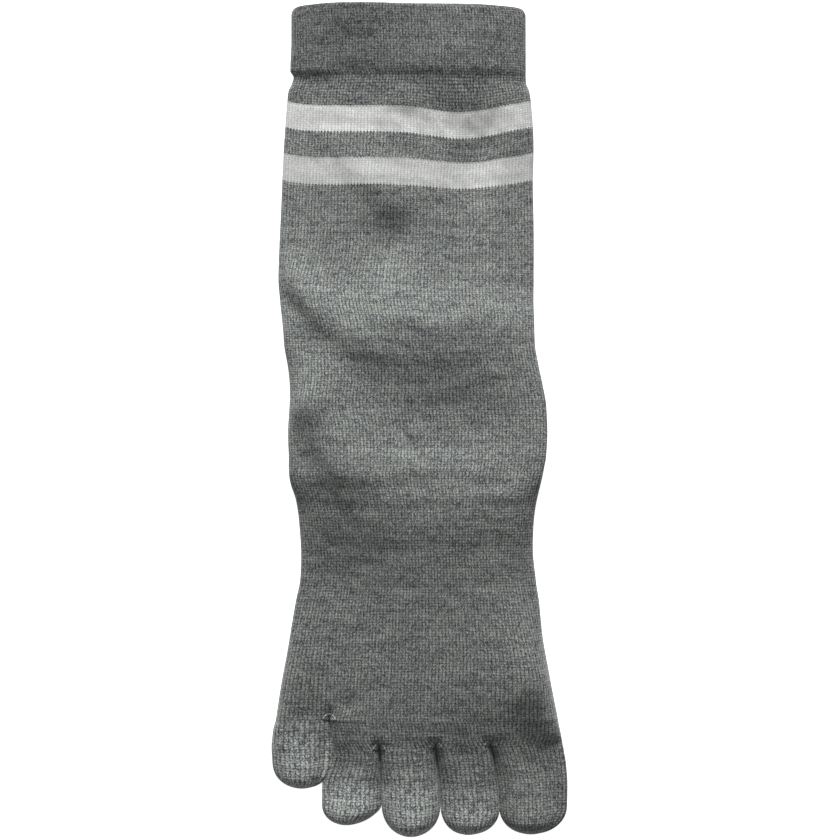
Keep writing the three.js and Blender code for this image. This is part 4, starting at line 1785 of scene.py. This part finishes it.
@dataclass(frozen=True)
class KnitFinish:
    """Cotton yarn knitted in plain stitches: matt and fuzzy, with painted shade darkening the grooves
    between the wales.

    Stretches of courses over which the colour changes are listed as (first, last, factor): painted light
    and painted shade where the cloth turns to and from the key, with the yarn's own tones.
    """

    name: str
    shade: str
    light: str
    # The gap colour is painted shade, laid into the grooves between the stitches by the wale and stitch
    # weights
    gap: str
    streak: float
    marl: float
    wale_shade: float
    stitch_shade: float
    bump: float
    painted_light_and_tones: tuple[tuple[float, float, float], ...] = ()
    fuzz: float = 0.35
    fuzz_roughness: float = 0.5
    roughness: float = 0.9
    specular: float = 0.2
    stitch_slope: float = 0.3
    tones_to_wale: float = 4.0
    tones_to_course: float = 2.0
    wale_round: float = 4.0
    line_narrow: float = 3.0
    stitch_hollow: float = 0.5
    streak_weight: float = 0.8
    drift_weight: float = 0.6
    fibre_weight: float = 0.5
    fibre_high: float = 0.35
    yarn_high: float = 0.3

    def build(self) -> bpy.types.Material:
        """Builds the material.

        Returns:
            The material, drawn on the knit map.
        """
        material = bpy.data.materials.new(self.name)
        add = Nodes(material).add
        place = add("ShaderNodeUVMap", uv_map=KNIT_MAP)
        split = add("ShaderNodeSeparateXYZ", {0: place})
        u, v = split.outputs["X"], split.outputs["Y"]
        # Distance from the middle of the wale: 0 in the middle and 1 in the groove
        half = add(MATH, {0: add(MATH, {0: u}, operation="FRACT"), 1: 0.5}, operation="SUBTRACT")
        aside = add(MATH, {0: add(MATH, {0: half}, operation="ABSOLUTE"), 1: 2.0}, operation="MULTIPLY")
        # The two legs of a stitch slant towards its middle
        inward = add(MATH, {0: 1.0, 1: aside}, operation="SUBTRACT")
        course = add(MATH, {0: inward, 1: -self.stitch_slope, 2: v}, operation="MULTIPLY_ADD")
        step = add(MATH, {0: course}, operation="FRACT")
        turn = add(MATH, {0: step, 1: math.pi}, operation="MULTIPLY")
        fullness = add(MATH, {0: turn}, operation="SINE")
        edge = add(MATH, {0: aside, 1: self.wale_round}, operation="POWER")
        crown = add(MATH, {0: 1.0, 1: edge}, operation="SUBTRACT")
        legs = add(
            MATH,
            {0: fullness, 1: 1 - self.stitch_hollow, 2: self.stitch_hollow},
            operation="MULTIPLY_ADD",
        )
        high = add(MATH, {0: legs, 1: crown}, operation="MULTIPLY")
        # Each half leg of each stitch has a tone of its own
        legs_on = add(MATH, {0: u, 1: self.tones_to_wale}, operation="MULTIPLY")
        parts_on = add(MATH, {0: course, 1: self.tones_to_course}, operation="MULTIPLY")
        leg = add(MATH, {0: legs_on}, operation="FLOOR")
        part = add(MATH, {0: parts_on}, operation="FLOOR")
        cell = add("ShaderNodeCombineXYZ", {0: leg, 1: part, 2: 0.0})
        tone = add("ShaderNodeTexWhiteNoise", {"Vector": cell}, noise_dimensions="2D").outputs["Value"]
        # The yarn's colour also drifts along the course, in streaks and from fibre to fibre
        noises = []
        for noise in (STREAKS, DRIFT, FIBRES):
            spread = add(
                "ShaderNodeVectorMath",
                {0: place, 1: (noise.across, noise.along, 1.0)},
                operation="MULTIPLY",
            )
            texture = add(
                "ShaderNodeTexNoise",
                {"Vector": spread, "Scale": noise.scale, "Detail": noise.detail, "Roughness": noise.rough},
                noise_dimensions="2D",
            )
            noises.append(texture.outputs["Fac"])
        streaks, drift, fibres = noises
        total: bpy.types.Node | float = 0.5
        for source, weight in (
            (tone, self.marl),
            (streaks, self.streak * self.streak_weight),
            (drift, self.streak * self.drift_weight),
            (fibres, self.marl * self.fibre_weight),
        ):
            swing = add(MATH, {0: source, 1: 0.5}, operation="SUBTRACT")
            total = add(MATH, {0: swing, 1: weight, 2: total}, operation="MULTIPLY_ADD")
        share = add("ShaderNodeClamp", {"Value": total})
        shades = {0: share, 6: linear(self.shade), 7: linear(self.light)}
        yarn = add("ShaderNodeMix", shades, data_type="RGBA").outputs[2]
        # Painted shade darkens the grooves between the wales and, fainter, between the courses
        line = add(MATH, {0: aside, 1: self.line_narrow}, operation="POWER")
        between = add(MATH, {0: 1.0, 1: fullness}, operation="SUBTRACT")
        course_shade = add(MATH, {0: between, 1: self.stitch_shade}, operation="MULTIPLY")
        shade_sum = add(MATH, {0: line, 1: self.wale_shade, 2: course_shade}, operation="MULTIPLY_ADD")
        shadow = add("ShaderNodeClamp", {"Value": shade_sum})
        shades = {0: shadow, 6: yarn, 7: linear(self.gap)}
        colour = add("ShaderNodeMix", shades, data_type="RGBA").outputs[2]
        # Painted light and painted shade over stretches of courses, with the yarn's own tones
        for first, last, light_and_tone_factor in self.painted_light_and_tones:
            factor = add(
                "ShaderNodeMapRange",
                {"Value": v, "From Min": first, "From Max": last, "To Min": 1.0, "To Max": light_and_tone_factor},
                interpolation_type="SMOOTHSTEP",
            )
            colour = add("ShaderNodeVectorMath", {0: colour, 3: factor}, operation="SCALE")
        height = add(MATH, {0: fibres, 1: self.fibre_high, 2: high}, operation="MULTIPLY_ADD")
        relief = {"Strength": self.bump, "Distance": self.yarn_high * MM, "Height": height}
        bump = add("ShaderNodeBump", relief)
        shader = add(
            "ShaderNodeBsdfPrincipled",
            {
                "Base Color": colour,
                "Roughness": self.roughness,
                "Specular IOR Level": self.specular,
                "Sheen Weight": self.fuzz,
                "Sheen Roughness": self.fuzz_roughness,
                "Normal": bump,
            },
        )
        add("ShaderNodeOutputMaterial", {"Surface": shader})
        return material


# Each finish's gap colour is painted shade in the grooves between the stitches
FINISHES = {
    # Cotton marl, knitted: dark and pale fibres spun together, so every stitch has another grey
    Yarn.MARL: KnitFinish(
        "cotton_marl_knitted",
        shade="#42444d",
        light="#a5a9a2",
        gap="#101114",
        streak=0.8,
        marl=1.05,
        wale_shade=0.62,
        stitch_shade=0.38,
        bump=0.6,
        # The top band, the foot and the ball are made darker and the toes' tips far brighter: the tips'
        # brightness is painted light, and the darker stretches are partly painted shade where the cloth
        # slopes from the key
        painted_light_and_tones=((46.0, 56.0, 1.14), (185.0, 235.0, 0.7), (255.0, 300.0, 0.94), (316.0, 331.0, 1.66)),
    ),
    # Cotton marl over elastic, knitted double: darker, with every other wale sunk
    Yarn.RIB: KnitFinish(
        "cotton_marl_knitted_double",
        shade="#3b3d43",
        light="#929591",
        gap="#101114",
        streak=0.8,
        marl=1.2,
        wale_shade=0.62,
        stitch_shade=0.28,
        bump=0.6,
    ),
    # Undyed cotton, knitted: off-white, with faint painted shade between the wales
    Yarn.WHITE: KnitFinish(
        "white_cotton_knitted",
        shade="#b4b5b3",
        light="#f1f2f0",
        gap="#8c8d8c",
        streak=0.4,
        marl=0.7,
        wale_shade=0.5,
        stitch_shade=0.35,
        bump=0.4,
        painted_light_and_tones=((62.0, 68.0, 0.89),),
    ),
}


@dataclass
class Studio:
    """The floor, the lights and the camera, which looks straight down as the photograph does."""

    lens: float = 85.0
    sensor: float = 36.0
    view_across: float = 0.3134
    look_height: float = 0.008
    aside: tuple[float, float] = (0.00019, 0.00019)
    surround: float = 0.36
    key_share: float = 0.66
    key_height: float = 23.0
    key_turn: float = -2.0
    key_soft: float = 22.0
    floor_reach: float = 8.0
    floor_drop: float = 0.0003
    floor_glow: float = 0.85
    floor_roughness: float = 0.8
    floor_specular: float = 0.1

    def build(self) -> None:
        """Builds the whole studio."""
        self.floor()
        self.lights()
        self.camera()

    def floor(self) -> None:
        """Lays a pale light table, whose glow throws no light on the sock."""
        mesh = bpy.data.meshes.new("floor")
        ends = (-self.floor_reach, self.floor_reach)
        points = [(x, y, -self.floor_drop) for y in ends for x in ends]
        mesh.from_pydata(points, [], [(0, 1, 3, 2)])
        floor = bpy.data.objects.new("floor", mesh)
        bpy.context.scene.collection.objects.link(floor)
        # Opal acrylic, cast: an even white glow with no highlight and faint shadows
        material = bpy.data.materials.new("opal_acrylic_sheet")
        nodes = Nodes(material)
        shader = nodes.add(
            "ShaderNodeBsdfPrincipled",
            {
                "Base Color": linear("#e9e9e8"),
                "Roughness": self.floor_roughness,
                "Specular IOR Level": self.floor_specular,
                "Emission Color": linear("#ffffff"),
                "Emission Strength": self.floor_glow,
            },
        )
        nodes.add("ShaderNodeOutputMaterial", {"Surface": shader})
        mesh.materials.append(material)
        floor.visible_diffuse = False

    def lights(self) -> None:
        """Hangs a low soft key on the cuff's side, and a pale surround."""
        scene = bpy.context.scene
        world = bpy.data.worlds.new("studio")
        scene.world = world
        world.use_nodes = True
        background = world.node_tree.nodes["Background"]
        background.inputs["Color"].default_value = linear("#ffffff")
        background.inputs["Strength"].default_value = self.surround
        key = bpy.data.lights.new("key", "SUN")
        key.angle = math.radians(self.key_soft)
        key.energy = self.key_share * math.pi / math.sin(math.radians(self.key_height))
        lamp = bpy.data.objects.new("key", key)
        scene.collection.objects.link(lamp)
        lamp.rotation_euler = (math.radians(90 - self.key_height), 0, math.radians(180 - self.key_turn))

    def camera(self) -> None:
        """Sets the camera above the sock."""
        camera = bpy.data.cameras.new("camera")
        camera.lens = self.lens
        camera.sensor_width = self.sensor
        eye = bpy.data.objects.new("camera", camera)
        bpy.context.scene.collection.objects.link(eye)
        away = self.view_across * self.lens / self.sensor
        eye.location = (self.aside[0], self.aside[1], away + self.look_height)
        bpy.context.scene.camera = eye


class Sock:
    """The whole sock: it builds every piece and gives each its finish."""

    def __init__(self) -> None:
        """Sets out the shape and finds where it lies in the frame."""
        self.shape = SockShape()
        self.knit = Knit()
        self.materials = {yarn: finish.build() for yarn, finish in FINISHES.items()}
        low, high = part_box("foot")
        foot = self.shape.zones["foot"]
        left = self.shape.ball_left(foot.end)
        right = float(self.shape.centre_at(foot.end) + self.shape.half_at(foot.end))
        x = (low.x + high.x) / 2 / MM - (left + right) / 2
        y = high.y / MM + self.shape.ankle + self.shape.seam_gap / 2
        self.shift = np.array([x, y, 0.0])
        LOG.info("the knit's origin lies at %.2f, %.2f mm", x, y)

    def dress(self, piece: bpy.types.Object, yarn: Yarn, node: str = "") -> None:
        """Gives a piece its finish and its place on the frame.

        Args:
            piece: The piece.
            yarn: Its yarn.
            node: The node that it stands for, or nothing where it is fitted over the knit.
        """
        piece.data.materials.append(self.materials[yarn])
        if node:
            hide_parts(node)
        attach(piece, "root")
        LOG.info("%s: %d faces", piece.name, len(piece.data.polygons))

    def build(self) -> None:
        """Builds the tube, the heel, the toes and the yarn at their crotches."""
        tube = KnittedTube(self.shape, self.knit)
        for name, zone in self.shape.zones.items():
            self.dress(tube.build(zone, self.shift), zone.yarn, name)
        self.dress(heel_pocket(self.shape, self.knit).build(self.shift), Yarn.MARL, "heel")
        for toe in self.shape.toes:
            self.dress(toe_pocket(self.shape, self.knit, toe).build(self.shift), Yarn.MARL, toe.name)
        for turns in crotch_turns(self.shape):
            self.dress(turns.build(self.shift), Yarn.MARL)


def main() -> None:
    """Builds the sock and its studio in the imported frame."""
    logging.basicConfig(level=logging.INFO, format="%(name)s: %(message)s")
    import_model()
    bpy.context.scene.view_settings.view_transform = "Standard"
    Sock().build()
    Studio().build()


if __name__ == "__main__":
    main()
